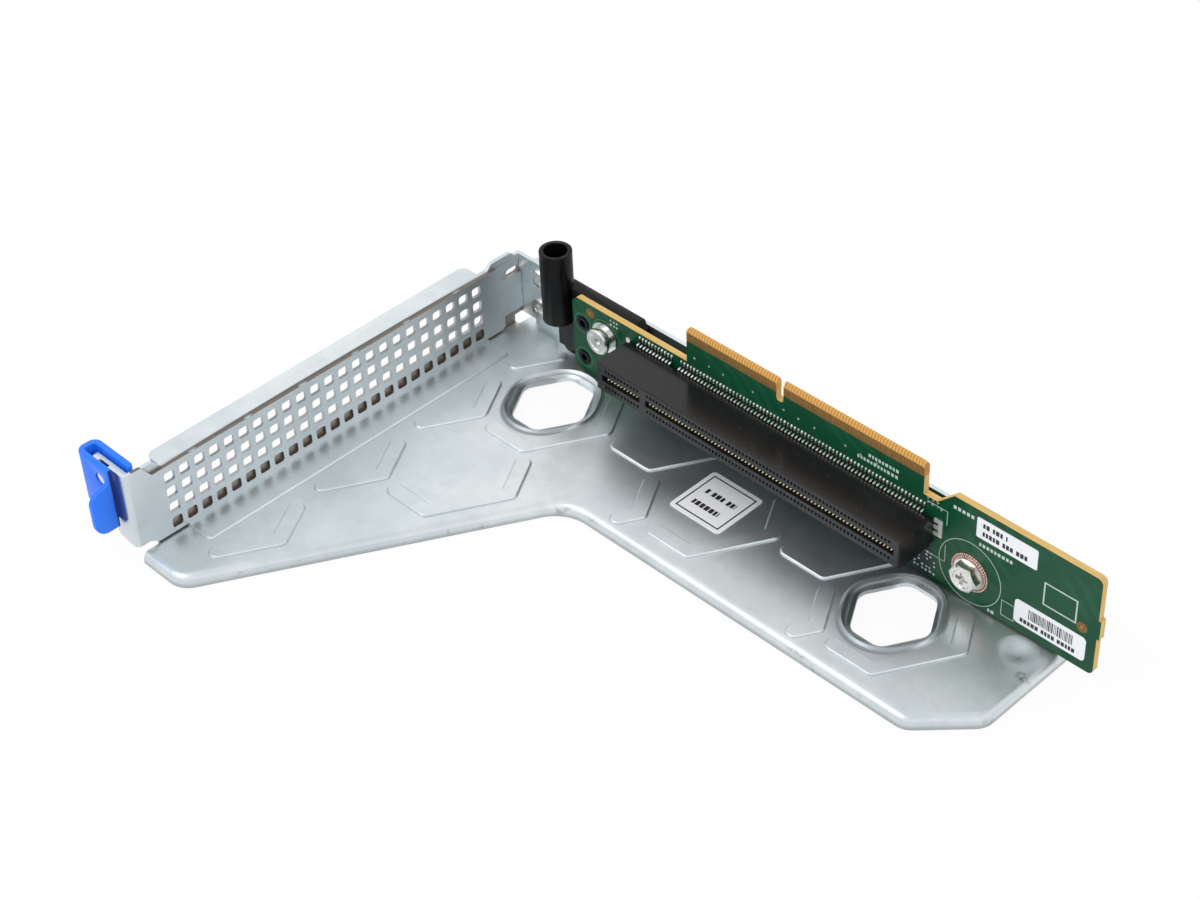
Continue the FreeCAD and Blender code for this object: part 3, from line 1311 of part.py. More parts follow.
def build_housing():
    """Connector housing with its keyed slot, contact chambers and slits."""
    body = new_body("housing_block")

    def draw_block(sketch):
        outline(sketch, rectangle("housing_left_x", "housing_bottom",
                                  "housing_right_x", "housing_top"))

    block = pad(body, "block", "XZ", "housing_front_y", "housing_back_y", draw_block)

    def front_edges(edge, middle):
        return lies_at(middle.y, "housing_front_y")

    dress(body, "Chamfer", "front_edges", block, edges_where(block, front_edges), "front_chamfer")

    def draw_feet(sketch):
        low = "housing_bottom + post_inset"
        high = "housing_top - post_inset"
        outline(sketch, rectangle("housing_left_x", low, "housing_left_x + post_width", high))
        outline(sketch, rectangle("housing_right_x - post_width", low, "housing_right_x", high))

    pad(body, "feet", "XZ", "housing_back_y - 0.5", "board_front_y", draw_feet)

    def slot_parts(sketch, low, high):
        outline(sketch, rectangle("contact_x - slot_margin", low,
                                  "key_x - key_wall / 2", high))
        outline(sketch, rectangle("key_x + key_wall / 2", low,
                                  "contact_last_x + slot_margin", high))

    def draw_slot(sketch):
        slot_parts(sketch, "slot_z - slot_height / 2", "slot_z + slot_height / 2")

    pocket(body, "slot", "XZ", "housing_front_y - 1", "housing_front_y + slot_depth", draw_slot)

    def draw_chambers(sketch):
        slot_parts(sketch, "slot_z - slot_height / 2 - chamber_height",
                   "slot_z + slot_height / 2 + chamber_height")

    pocket(body, "chambers", "XZ", "housing_front_y + chamber_lip",
           "housing_front_y + slot_depth - 1", draw_chambers)

    def draw_slits(sketch):
        slot_parts(sketch, "slot_z - contact_row - contact_gauge / 2",
                   "slot_z - contact_row + contact_gauge / 2")
        slot_parts(sketch, "slot_z + contact_row - contact_gauge / 2",
                   "slot_z + contact_row + contact_gauge / 2")

    pocket(body, "slits", "XZ", "housing_front_y + slot_depth - 2", "housing_back_y + 1",
           draw_slits)
    return body


def build_windows(housing):
    """The housing with its small front windows, one to each contact and side."""
    side = value("window_side")
    rise = value("window_rise")
    middle = value("slot_z")
    front = value("housing_front_y")
    deep = value("window_deep")
    cuts = []
    for offset in (-value("window_offset"), value("window_offset")):
        for place_x in contact_places():
            corner = FreeCAD.Vector(place_x - side / 2, front - 0.2, middle + offset - rise / 2)
            cuts.append(Part.makeBox(side, deep + 0.2, rise, corner))
    windows = keep("front_windows", Part.makeCompound(cuts))
    pierced = doc.addObject("Part::Cut", "slot_housing")
    pierced.Base = housing
    pierced.Tool = windows
    doc.recompute()
    return pierced


def build_pronged_holddown():
    """Soldered hold-down at the housing's right end: three prongs towards the housing."""
    body = new_body("hold_down_right")
    left = "housing_right_x"
    right = "housing_right_x + holddown_reach"
    bottom = "housing_bottom + holddown_level"
    notch = left + " + holddown_slit_depth"
    prong = "(holddown_height - 2 * holddown_slit) / 3"

    def draw(sketch):
        first = bottom + " + " + prong
        second = first + " + holddown_slit + " + prong
        outline(sketch, [
            (left, bottom),
            (right, bottom),
            (right, bottom + " + holddown_height"),
            (left, bottom + " + holddown_height"),
            (left, second + " + holddown_slit"),
            (notch, second + " + holddown_slit"),
            (notch, second),
            (left, second),
            (left, first + " + holddown_slit"),
            (notch, first + " + holddown_slit"),
            (notch, first),
            (left, first),
        ])

    pad(body, "prongs", "XZ", "board_front_y - holddown_gauge", "board_front_y", draw)
    return body


def build_small_holddown():
    """Small soldered foot at the housing's upper left corner."""
    body = new_body("hold_down_left")

    def draw(sketch):
        outline(sketch, rectangle("housing_left_x - small_holddown", "housing_top - small_holddown",
                                  "housing_left_x", "housing_top"))

    pad(body, "foot", "XZ", "board_front_y - holddown_gauge", "board_front_y", draw)
    return body


def build_carrier():
    """Black carrier behind the board: plate, leg, guide tube and two pins."""
    body = new_body("guide_carrier")

    def draw_plate(sketch):
        outline(sketch, [
            ("board_left_x - leg_left", "board_bottom + leg_clear", "1.5"),
            ("board_left_x + leg_width", "board_bottom + leg_clear", "1.5"),
            ("board_left_x + leg_width", "arm_top - arm_height", "1"),
            ("board_left_x + arm_length - arm_slope", "arm_top - arm_height"),
            ("board_left_x + arm_length", "arm_top - arm_height + 2"),
            ("board_left_x + arm_length - arm_slope", "arm_top", "0.5"),
            ("board_left_x - leg_left", "arm_top"),
        ])

    pad(body, "plate", "XZ", "board_back_y", "arm_back_y", draw_plate)

    def draw_tube(sketch):
        circle(sketch, "tube_x", "tube_y", "tube_outer")

    pad(body, "tube", "XY", "tube_bottom", "tube_bottom + tube_height", draw_tube)

    def draw_web(sketch):
        outline(sketch, rectangle("tube_x - web_width / 2", "board_bottom + leg_clear + 1",
                                  "board_left_x - leg_left + 2", "tube_bottom + 1"))

    pad(body, "web", "XZ", "board_back_y", "arm_back_y", draw_web)

    def draw_pins(sketch):
        circle(sketch, "board_left_x + carrier_pin_x", "board_bottom + upper_pin_level",
               "carrier_pin_radius")
        circle(sketch, "board_left_x + carrier_pin_x", "board_bottom + lower_pin_level",
               "carrier_pin_radius")

    pad(body, "pins", "XZ", "board_front_y - pin_proud", "board_back_y + 0.5", draw_pins)

    def draw_pin_bores(sketch):
        circle(sketch, "board_left_x + carrier_pin_x", "board_bottom + upper_pin_level", "pin_bore")
        circle(sketch, "board_left_x + carrier_pin_x", "board_bottom + lower_pin_level", "pin_bore")

    pocket(body, "pin_bores", "XZ", "board_front_y - pin_proud - 0.1",
           "board_front_y - pin_proud + pin_bore_depth", draw_pin_bores)

    def draw_bore(sketch):
        circle(sketch, "tube_x", "tube_y", "tube_bore")

    pocket(body, "bore", "XY", "tube_bottom + tube_floor", "tube_bottom + tube_height + 1",
           draw_bore)

    def draw_bolt_hole(sketch):
        circle(sketch, "board_left_x + bolt_x", "board_bottom + bolt_level", "bolt_shank_radius")

    pocket(body, "bolt_hole", "XZ", "board_back_y - 0.1", "arm_back_y + 0.5", draw_bolt_hole)
    return body


def build_bolt():
    """Shoulder stud: flange on the board, drum, dished head, and a shank into the carrier."""
    head = "-bolt_flange - bolt_neck - bolt_head"
    return turned("shoulder_stud", [
        ("0", head + " + bolt_socket"),
        ("bolt_socket_radius", head + " + bolt_socket"),
        ("bolt_socket_radius", head + " + bolt_dish"),
        ("bolt_dish_radius - bolt_dish", head + " + bolt_dish"),
        ("bolt_dish_radius", head),
        ("bolt_head_radius - bolt_edge", head),
        ("bolt_head_radius", head + " + bolt_edge"),
        ("bolt_head_radius", "-bolt_flange - bolt_neck"),
        ("bolt_neck_radius", "-bolt_flange - bolt_neck"),
        ("bolt_neck_radius", "-bolt_flange"),
        ("bolt_flange_radius", "-bolt_flange"),
        ("bolt_flange_radius", "0"),
        ("bolt_shank_radius", "0"),
        ("bolt_shank_radius", "board_thickness + arm_thickness"),
        ("0", "board_thickness + arm_thickness"),
    ], "board_left_x + bolt_x", "board_front_y", "board_bottom + bolt_level")


def build_screw():
    """Flanged hexagon screw through the pad, board and standoff into the back wall."""
    body = new_body("board_screw")
    face = "-screw_flange - screw_head"
    revolve(body, "shank_and_flange", [
        ("0", "-screw_flange"),
        ("screw_flange_radius", "-screw_flange"),
        ("screw_flange_radius", "0"),
        ("screw_shank_radius", "0"),
        ("screw_shank_radius", "pad_gauge + back_wall_y - board_front_y + screw_tip"),
        ("0", "pad_gauge + back_wall_y - board_front_y + screw_tip"),
    ])

    def draw_hexagon(sketch):
        half = "screw_hex / 2"
        reach = "screw_hex / sqrt(3)"
        outline(sketch, [
            ("-" + reach, "0"),
            ("-" + reach + " / 2", "-" + half),
            (reach + " / 2", "-" + half),
            (reach, "0"),
            (reach + " / 2", half),
            ("-" + reach + " / 2", half),
        ])

    pad(body, "hexagon", "XY", face, "-screw_flange / 2", draw_hexagon)

    def draw_crown(sketch):
        outline(sketch, [
            ("screw_crown_radius", face),
            ("screw_hex", face),
            ("screw_hex", face + " + screw_crown_drop / (screw_hex / sqrt(3) - screw_crown_radius)"
             " * (screw_hex - screw_crown_radius)"),
        ])
        outline(sketch, [
            ("0", face),
            ("screw_dish_radius", face),
            ("screw_dish_radius - screw_dish", face + " + screw_dish"),
            ("0", face + " + screw_dish"),
        ])

    groove(body, "crown_and_dish", draw_crown)

    def draw_cross(sketch):
        corners = []
        for right, up in ((1, 1), (-1, 1), (-1, -1), (1, -1)):
            near = "%d * cross_half"
            far = "%d * cross_reach"
            steps = [(far % right, near % up), (near % right, near % up), (near % right, far % up)]
            corners += steps if right == up else steps[::-1]
        outline(sketch, corners)

    pocket(body, "cross", "XY", face + " - 0.5", face + " + cross_depth", draw_cross)
    body.Placement = FreeCAD.Placement(FreeCAD.Vector(0, 0, 0), BACKWARDS)
    place(body, "screw_axis_x", "board_front_y - pad_gauge", "screw_axis_z")
    return body


def build_ring(label, low, high, outer, inner):
    """A flat ring or sleeve on the screw's axis."""
    body = new_body(label)

    def draw(sketch):
        circle(sketch, "screw_axis_x", "screw_axis_z", outer)
        circle(sketch, "screw_axis_x", "screw_axis_z", inner)

    pad(body, label + "_ring", "XZ", low, high, draw)
    return body


def build_flat_label(label, plane, low, high, corners):
    """A thin sticker with rounded corners."""
    body = new_body(label)

    def draw(sketch):
        outline(sketch, corners)

    pad(body, label + "_sticker", plane, low, high, draw)
    return body


def build_labels():
    """One sticker on the floor and two on the board."""
    floor_left = "end_wall_x + tray_label_x"
    floor_back = "back_wall_y - tray_label_y"
    upper_top = "board_right_top - upper_label_drop"
    upper_right = "board_right_x - upper_label_x"
    lower_right = "board_right_x - lower_label_x"
    lower_bottom = "board_bottom + lower_label_level"
    return [
        build_flat_label("tray_label", "XY", "floor_top", "floor_top + label_gauge", rectangle(
            floor_left, floor_back, floor_left + " + tray_label_side",
            floor_back + " + tray_label_side", "label_round")),
        build_flat_label("part_label", "XZ", "board_front_y - label_gauge", "board_front_y",
                         rectangle(upper_right + " - upper_label_width",
                                   upper_top + " - upper_label_height",
                                   upper_right, upper_top, "small_label_round")),
        build_flat_label("serial_label", "XZ", "board_front_y - label_gauge", "board_front_y",
                         rectangle(lower_right + " - lower_label_width", lower_bottom,
                                   lower_right, lower_bottom + " + lower_label_height",
                                   "label_round")),
    ]


def build_all():
    """Every piece of the cage."""
    housing = build_windows(build_housing())
    pieces = [
        build_tray(),
        build_cover(),
        build_cap(),
        build_stud(),
        build_rivet("wing_rivet_upper", "upper_rivet"),
        build_rivet("wing_rivet_lower", "lower_rivet"),
        build_board(),
        build_fingers("edge_fingers_front", "board_front_y - finger_relief"),
        build_fingers("edge_fingers_back", "board_back_y"),
        housing,
        build_contacts("slot_contacts_upper", 1),
        build_contacts("slot_contacts_lower", -1),
        build_pronged_holddown(),
        build_small_holddown(),
        build_carrier(),
        build_bolt(),
        build_screw(),
        build_ring("screw_pad", "board_front_y - pad_gauge", "board_front_y",
                   "pad_radius", "screw_shank_radius"),
        build_ring("board_standoff", "board_back_y", "back_inner_y",
                   "standoff_radius", "screw_shank_radius"),
    ]
    return pieces + build_labels()


def check_and_write(pieces):
    """Stop if anything failed, then write each piece to its own file."""
    doc.recompute()
    for one in doc.Objects:
        if "Invalid" in one.State or "Error" in one.State:
            raise RuntimeError("%s failed: %s" % (one.Name, one.getStatusString()))
    os.makedirs("parts", exist_ok=True)
    for piece in pieces:
        name = piece.Label.removesuffix("_solid")
        if piece.Shape.isNull() or not piece.Shape.isValid():
            raise RuntimeError(name + " has no valid shape")
        piece.Shape.exportStep("parts/%s.step" % name)
        print(name, len(piece.Shape.Solids), round(piece.Shape.Volume, 2))


check_and_write(build_all())
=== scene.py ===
import json
import math
import random

import bmesh
import bpy
from mathutils import Matrix, Vector

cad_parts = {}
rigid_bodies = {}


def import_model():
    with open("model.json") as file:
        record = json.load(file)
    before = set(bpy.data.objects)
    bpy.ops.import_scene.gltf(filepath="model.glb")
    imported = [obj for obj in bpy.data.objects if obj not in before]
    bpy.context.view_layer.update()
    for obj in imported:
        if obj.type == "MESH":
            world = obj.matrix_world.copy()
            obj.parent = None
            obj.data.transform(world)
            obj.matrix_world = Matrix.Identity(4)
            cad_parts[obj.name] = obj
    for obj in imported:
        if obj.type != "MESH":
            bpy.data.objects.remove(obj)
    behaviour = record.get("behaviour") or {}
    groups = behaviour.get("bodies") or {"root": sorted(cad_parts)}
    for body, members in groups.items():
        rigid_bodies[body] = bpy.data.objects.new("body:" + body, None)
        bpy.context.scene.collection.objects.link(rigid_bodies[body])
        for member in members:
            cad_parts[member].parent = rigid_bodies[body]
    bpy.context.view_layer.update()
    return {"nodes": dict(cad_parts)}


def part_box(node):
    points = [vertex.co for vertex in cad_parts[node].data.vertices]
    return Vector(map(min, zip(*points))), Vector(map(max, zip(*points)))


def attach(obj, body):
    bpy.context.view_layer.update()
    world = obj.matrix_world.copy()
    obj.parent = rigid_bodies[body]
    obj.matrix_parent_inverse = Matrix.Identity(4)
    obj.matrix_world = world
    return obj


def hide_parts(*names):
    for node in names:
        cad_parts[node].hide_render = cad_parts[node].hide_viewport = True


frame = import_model()
NODES = frame["nodes"]
MM = 0.001

# Where the pieces lie, read from the frame

BOARD_LOW, BOARD_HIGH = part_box("riser_board")
HOUSING_LOW, HOUSING_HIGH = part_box("slot_housing")
UPPER_LOW, UPPER_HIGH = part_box("slot_contacts_upper")
LOWER_LOW, LOWER_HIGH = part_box("slot_contacts_lower")
COVER_LOW, COVER_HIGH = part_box("slot_cover")
TRAY_LOW, TRAY_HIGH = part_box("base_tray")
SCREW_LOW, SCREW_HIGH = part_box("board_screw")
STUD_LOW, STUD_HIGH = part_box("shoulder_stud")
CAP_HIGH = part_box("pull_cap")[1]
PAD_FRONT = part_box("screw_pad")[0].y

# The tray's floor and end wall, its flared holes, and the slot cover in its window
FLOOR_TOP_Z = TRAY_LOW.z + 3.0 * MM
WINDOW_LOW_Z = TRAY_LOW.z + 8.0 * MM
WINDOW_HIGH_Z = TRAY_LOW.z + 20.6 * MM
HOLE_CENTRES_X = (TRAY_LOW.x + 41.7 * MM, TRAY_LOW.x + 144.8 * MM)
HOLE_Y = TRAY_HIGH.y - 21.85 * MM
COVER_SHEET = 0.8 * MM
COVER_TOP_Z = COVER_LOW.z + 18.3 * MM
LOW_HOLES_Z = COVER_LOW.z + 4.9 * MM
END_WALL_X = COVER_HIGH.x - COVER_SHEET
CAP_STEP_Y = COVER_LOW.y - 0.6 * MM

# The board's front face carries the print and the solder; its normal is -Y
BOARD_FRONT = BOARD_LOW.y
BOARD_PLANE = ((0, BOARD_FRONT, 0), (1, 0, 0), (0, 0, 1))
SCREW_X = (SCREW_LOW.x + SCREW_HIGH.x) / 2
SCREW_Z = (SCREW_LOW.z + SCREW_HIGH.z) / 2
STUD_X = (STUD_LOW.x + STUD_HIGH.x) / 2
STUD_Z = (STUD_LOW.z + STUD_HIGH.z) / 2
PIN_X = BOARD_LOW.x + 3.3 * MM
PIN_LEVELS = (BOARD_LOW.z + 4.2 * MM, BOARD_LOW.z + 14.1 * MM)
FINGERS_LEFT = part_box("edge_fingers_front")[0].x
FINGER_PITCH = 0.8 * MM
FINGER_FOOT_Z = BOARD_HIGH.z - 3.4 * MM

# The connector's contacts: pitch, and each group's first lead and count
CONTACT_PITCH = 1.0 * MM
CONTACT_GROUPS = ((UPPER_LOW.x + 0.21 * MM, 11), (UPPER_LOW.x + 13.21 * MM, 71))
LEAD_END_X = UPPER_HIGH.x + 0.6 * MM

# Print, lacquer and plating: how thick they lie, and how wide the printed lines are
PRINT_THICKNESS = 0.02 * MM
PLATING_THICKNESS = 0.03 * MM
THIN_LINE = 0.15 * MM
HEAVY_LINE = 0.35 * MM


# Node trees of the finishes

def feed(tree, socket, content):
    """Links an output to a socket, or sets the socket to a plain value."""
    if isinstance(content, bpy.types.NodeSocket):
        tree.links.new(content, socket)
    else:
        socket.default_value = content


def maths(tree, kind, first, second=0.0):
    """The output of a Math node on two numbers or outputs."""
    node = tree.nodes.new("ShaderNodeMath")
    node.operation = kind
    feed(tree, node.inputs[0], first)
    feed(tree, node.inputs[1], second)
    return node.outputs[0]


class Finish:
    """A material and the few calls that build its node tree."""

    def __init__(self, name):
        self.material = bpy.data.materials.new(name)
        self.material.use_nodes = True
        self.tree = self.material.node_tree
        self.shader = self.tree.nodes["Principled BSDF"]
        place = self.add("ShaderNodeTexCoord")
        self.spot = place.outputs["Object"]
        self.normal = place.outputs["Normal"]
        self.base = None

    def add(self, kind, **settings):
        node = self.tree.nodes.new(kind)
        for key, setting in settings.items():
            setattr(node, key, setting)
        return node

    def fill(self, node, **inputs):
        """Sets a node's inputs by name."""
        for key, content in inputs.items():
            feed(self.tree, node.inputs[key.replace("_", " ")], content)
        return node

    def set(self, **inputs):
        """Sets the shader's inputs by name."""
        self.fill(self.shader, **inputs)

    def math(self, kind, first, second=0.0):
        return maths(self.tree, kind, first, second)

    def times(self, first, *others):
        """The product of masks and numbers."""
        for other in others:
            first = self.math("MULTIPLY", first, other)
        return first

    def noise(self, per_metre, detail=2.0, rough=0.5, stretch=(1, 1, 1)):
        """Noise with that many cells in a metre."""
        mapping = self.add("ShaderNodeMapping")
        self.fill(mapping, Vector=self.spot, Scale=stretch)
        node = self.add("ShaderNodeTexNoise")
        self.fill(node, Vector=mapping.outputs[0], Scale=per_metre, Detail=detail, Roughness=rough)
        return node.outputs["Fac"]

    def cells(self, per_metre):
        """One random number for each cell, with that many cells in a metre."""
        node = self.fill(self.add("ShaderNodeTexVoronoi"), Vector=self.spot, Scale=per_metre)
        return self.part_of(node.outputs["Color"], "X")

    def between(self, value, low, high, to_low=0.0, to_high=1.0):
        """Maps a value from low..high to to_low..to_high, smoothly and clamped."""
        node = self.add("ShaderNodeMapRange", interpolation_type="SMOOTHSTEP", clamp=True)
        self.fill(node, Value=value, From_Min=low, From_Max=high, To_Min=to_low, To_Max=to_high)
        return node.outputs["Result"]

    def blend(self, amount, first, second, kind="MIX"):
        """Mixes two colours; each is a colour or an output."""
        node = self.add("ShaderNodeMix", data_type="RGBA", blend_type=kind)
        sockets = [s for s in node.inputs if s.enabled]
        for socket, content in zip(sockets, (amount, first, second)):
            feed(self.tree, socket, content)
        return next(s for s in node.outputs if s.enabled)

    def coat(self, colour):
        """Makes an output the base colour."""
        self.base = colour
        self.set(Base_Color=colour)

    def paint(self, amount, colour, kind="MIX"):
        """Lays a colour over the base colour."""
        self.coat(self.blend(amount, self.base, colour, kind))

    def bumps(self, *layers):
        """Stacks bump layers (height, strength, depth in metres) into the shader's normal."""
        below = None
        for height, strength, depth in layers:
            node = self.add("ShaderNodeBump")
            self.fill(node, Strength=strength, Distance=depth, Height=height)
            if below is not None:
                self.fill(node, Normal=below)
            below = node.outputs["Normal"]
        self.set(Normal=below)

    def part_of(self, output, axis):
        """One number of a vector: X, Y or Z."""
        node = self.add("ShaderNodeSeparateXYZ")
        self.fill(node, Vector=output)
        return node.outputs[axis]

    def place(self, axis):
        return self.part_of(self.spot, axis)

    def above(self, axis, level):
        return self.math("GREATER_THAN", self.place(axis), level)

    def below(self, axis, level):
        return self.math("LESS_THAN", self.place(axis), level)

    def off(self, axis, level):
        """Distance from a level along an axis."""
        return self.math("ABSOLUTE", self.math("SUBTRACT", self.place(axis), level))

    def facing(self, axis):
        """How far the surface faces along an axis, from 0 to 1."""
        return self.math("ABSOLUTE", self.part_of(self.normal, axis))

    def near(self, centre, size, softness):
        """1 at a point, fading to 0 at its size (a radius along each axis); softness starts the fade."""
        mapping = self.add("ShaderNodeMapping", vector_type="TEXTURE")
        self.fill(mapping, Vector=self.spot, Location=centre, Scale=size)
        length = self.add("ShaderNodeVectorMath", operation="LENGTH")
        feed(self.tree, length.inputs[0], mapping.outputs[0])
        return self.between(length.outputs["Value"], softness, 1.0, 1.0, 0.0)


def rgb(red, green, blue):
    """A colour as it shows on a screen, from 0 to 255, turned linear for a shader."""
    def linear(v):
        v /= 255
        return v / 12.92 if v <= 0.04045 else ((v + 0.055) / 1.055) ** 2.4
    return (linear(red), linear(green), linear(blue), 1.0)


def shaded(colour, share):
    """The same colour, darker."""
    return tuple(c * share for c in colour[:3]) + (1.0,)


DIM = (0.30, 0.31, 0.32, 1.0)
WHITE = (1.0, 1.0, 1.0, 1.0)
BARE_EDGE = rgb(124, 112, 101)


# The sheet metal

def sheet_steel(name, pale, dark, roughness, cut_edges):
    """Zinc-coated sheet: soft clouds, a fine crystal grain, and bare brownish metal where it was cut."""
    f = Finish(name)
    clouds = f.noise(28, detail=3.0, rough=0.55)
    grain = f.noise(2600, rough=0.6)
    stains = f.between(f.noise(75, detail=5.0, rough=0.7), 0.50, 0.72)
    f.coat(f.blend(f.between(clouds, 0.3, 0.7), dark, pale))
    f.paint(0.07, f.blend(f.cells(420), DIM, WHITE), "MULTIPLY")
    f.paint(0.16, f.blend(grain, DIM, WHITE), "MULTIPLY")
    f.paint(f.times(stains, 0.16), rgb(150, 160, 166))
    # cut edges in the bare colour; on the cover's lowest holes the same colour is also painted shade
    f.paint(cut_edges(f), BARE_EDGE)
    f.set(Metallic=0.92, Roughness=f.between(clouds, 0.2, 0.8, roughness - 0.04, roughness + 0.05))
    f.bumps((clouds, 0.05, 0.0006), (grain, 0.10, 0.00004))
    return f


def window_edges(f):
    """The cut edges of the card window in the end wall."""
    upright = f.between(f.facing("X"), 0.3, 0.6, 1.0, 0.0)
    margin = 0.1 * MM
    opening = f.times(f.above("Z", WINDOW_LOW_Z - margin), f.below("Z", WINDOW_HIGH_Z + margin),
                      f.below("X", END_WALL_X + margin))
    return f.times(upright, opening)


def smudge_rim(f):
    """Grey smears on the rolled rim."""
    rim = f.between(f.place("Z"), 2.2 * MM, 2.85 * MM, 1.0, 0.0)
    smears = f.between(f.noise(190, detail=4.0, rough=0.7), 0.56, 0.72)
    f.paint(f.times(rim, smears, 0.45), rgb(120, 124, 122))


def shade_groove(f):
    """Painted shade in the narrow groove between the flange and the slot cover."""
    middle = (END_WALL_X - 0.1 * MM, 0, COVER_TOP_Z - 0.3 * MM)
    groove = f.near(middle, (0.8 * MM, 62 * MM, 0.8 * MM), 0.7)
    f.paint(f.times(groove, 0.85), rgb(70, 64, 60))


def shade_rim_foot(f):
    """Painted shade on the rim's lowest part, where it stands on the floor."""
    f.paint(f.between(f.place("Z"), 0.3 * MM, 1.7 * MM, 0.55, 0.0), rgb(128, 133, 134))


def dull_and_shade_rib_sides(f):
    """The ribs' sloped sides: duller than the flat floor, and a little darker with painted shade."""
    tilt = f.facing("Z")
    slant = f.times(f.between(tilt, 0.45, 0.6), f.between(tilt, 0.90, 0.98, 1.0, 0.0))
    low_part = f.between(f.place("Z"), FLOOR_TOP_Z + 0.18 * MM, FLOOR_TOP_Z + 0.32 * MM, 1.0, 0.0)
    sides = f.times(slant, f.times(f.above("Z", FLOOR_TOP_Z - 0.02 * MM), low_part))
    f.paint(f.times(sides, 0.25), rgb(104, 113, 117))
    even = f.shader.inputs["Roughness"].links[0].from_socket
    f.set(Roughness=f.math("ADD", even, f.times(sides, 0.3)))


def shade_flares(f):
    """Painted shade on the slopes inside the flared holes."""
    for x in HOLE_CENTRES_X:
        slope = f.near((x, HOLE_Y, FLOOR_TOP_Z), (10.6 * MM, 11.6 * MM, 9 * MM), 0.93)
        f.paint(f.times(slope, 0.55), rgb(98, 106, 112))


def shade_behind_cover(f):
    """Painted shade on the end wall below its window, seen through the cover's lowest holes."""
    face = f.math("LESS_THAN", f.off("X", END_WALL_X), 0.3 * MM)
    f.paint(f.times(face, f.below("Z", WINDOW_LOW_Z + 0.1 * MM), 0.85), rgb(148, 134, 122))


def stain_corner(f):
    """A dark spot on the floor near the right end."""
    middle = (TRAY_HIGH.x - 2.25 * MM, TRAY_HIGH.y - 16.4 * MM, FLOOR_TOP_Z - 0.4 * MM)
    stain = f.near(middle, (2.6 * MM, 1.8 * MM, 4 * MM), 0.1)
    f.paint(f.times(stain, f.between(f.noise(900), 0.3, 0.6), 0.75), rgb(72, 72, 72))


def zinc_steel():
    """The tray's sheet."""
    f = sheet_steel("zinc_steel", pale=rgb(232, 239, 241), dark=rgb(213, 222, 226), roughness=0.37,
                    cut_edges=window_edges)
    smudge_rim(f)
    shade_groove(f)
    shade_rim_foot(f)
    dull_and_shade_rib_sides(f)
    shade_flares(f)
    shade_behind_cover(f)
    stain_corner(f)
    return f.material


def cover_edges(f):
    """The cover's cut edges: its top edge bare and the holes half so, with the lowest holes' walls taken to
    the full bare colour as painted shade.
    """
    across = f.between(f.facing("X"), 0.3, 0.6, 1.0, 0.0)
    past_cap = f.above("Y", COVER_LOW.y + 2.2 * MM)
    top_edge = f.between(f.place("Z"), COVER_TOP_Z - 0.5 * MM, COVER_TOP_Z - 0.2 * MM, 0.5, 1.0)
    low_hole_shade = f.times(f.below("Z", LOW_HOLES_Z), 0.5)
    return f.times(across, past_cap, f.math("ADD", top_edge, low_hole_shade))


def cover_steel():
    """The slot cover's plated sheet."""
    f = sheet_steel("cover_steel", pale=rgb(229, 236, 239), dark=rgb(216, 224, 228), roughness=0.40,
                    cut_edges=cover_edges)
    return f.material


# The plastics

def moulded_plastic(name, colour, roughness, grain_depth, gloss, speckle=0.0):
    """A moulded plastic: an even colour, a fine eroded texture and a little uneven gloss."""
    f = Finish(name)
    grain = f.noise(3800, detail=3.0, rough=0.6)
    drift = f.noise(60)
    f.coat(f.blend(f.between(drift, 0.3, 0.7), shaded(colour, 0.86), colour))
    if speckle:
        flecks = f.between(f.noise(1900, detail=1.0), 0.70, 0.80)
        f.paint(f.times(flecks, speckle), (0.25, 0.25, 0.25, 1))
    f.set(Roughness=f.between(drift, 0.2, 0.8, roughness - 0.03, roughness + 0.04),
          Specular_IOR_Level=gloss)
    f.bumps((grain, 0.20, grain_depth))
    return f


def blue_plastic():
    """The cap's resin, with painted shade in the narrow step beside the slot cover."""
    f = moulded_plastic("blue_plastic", rgb(26, 122, 255), roughness=0.38, grain_depth=0.00002, gloss=0.4)
    step = f.times(f.above("X", CAP_HIGH.x - 2.3 * MM),
                   f.math("LESS_THAN", f.off("Y", CAP_STEP_Y), 0.45 * MM))
    f.paint(f.times(step, 0.92), rgb(16, 28, 92))
    return f.material


def black_plastic():
    f = moulded_plastic("black_plastic", rgb(9, 9, 12), roughness=0.28, grain_depth=0.00001, gloss=0.16)
    return f.material


def connector_plastic():
    """The housing's mould resin, dark grey, with fine pale flecks of its filler."""
    f = moulded_plastic("connector_plastic", rgb(31, 30, 32), roughness=0.20, grain_depth=0.00001,
                        gloss=0.28, speckle=0.25)
    return f.material


# The plated metals

def bright_metal(name, colour, roughness, metallic=1.0):
    """Plated metal, faintly brushed."""
    f = Finish(name)
    brushed = f.noise(1400, stretch=(1, 1, 0.15))
    f.coat(f.blend(f.between(brushed, 0.3, 0.7), shaded(colour, 0.85), colour))
    f.set(Metallic=metallic, Roughness=f.between(brushed, 0.2, 0.8, roughness - 0.05, roughness + 0.08))
    f.bumps((brushed, 0.12, 0.00002))
    return f


def contact_metal():
    """The contacts: dull gold in the slot, tin on the leads, and painted shade on the leads' slopes."""
    f = bright_metal("contact_metal", rgb(244, 244, 240), 0.16)
    f.paint(f.below("Y", HOUSING_HIGH.y - 2 * MM), rgb(206, 180, 120))
    reach = f.off("Z", (HOUSING_LOW.z + HOUSING_HIGH.z) / 2)
    slope = f.times(f.between(reach, 4.30 * MM, 4.45 * MM), f.between(reach, 5.05 * MM, 5.20 * MM, 1.0, 0.0))
    f.paint(f.times(slope, 0.85), rgb(62, 66, 64))
    return f.material


# Board, print and paper

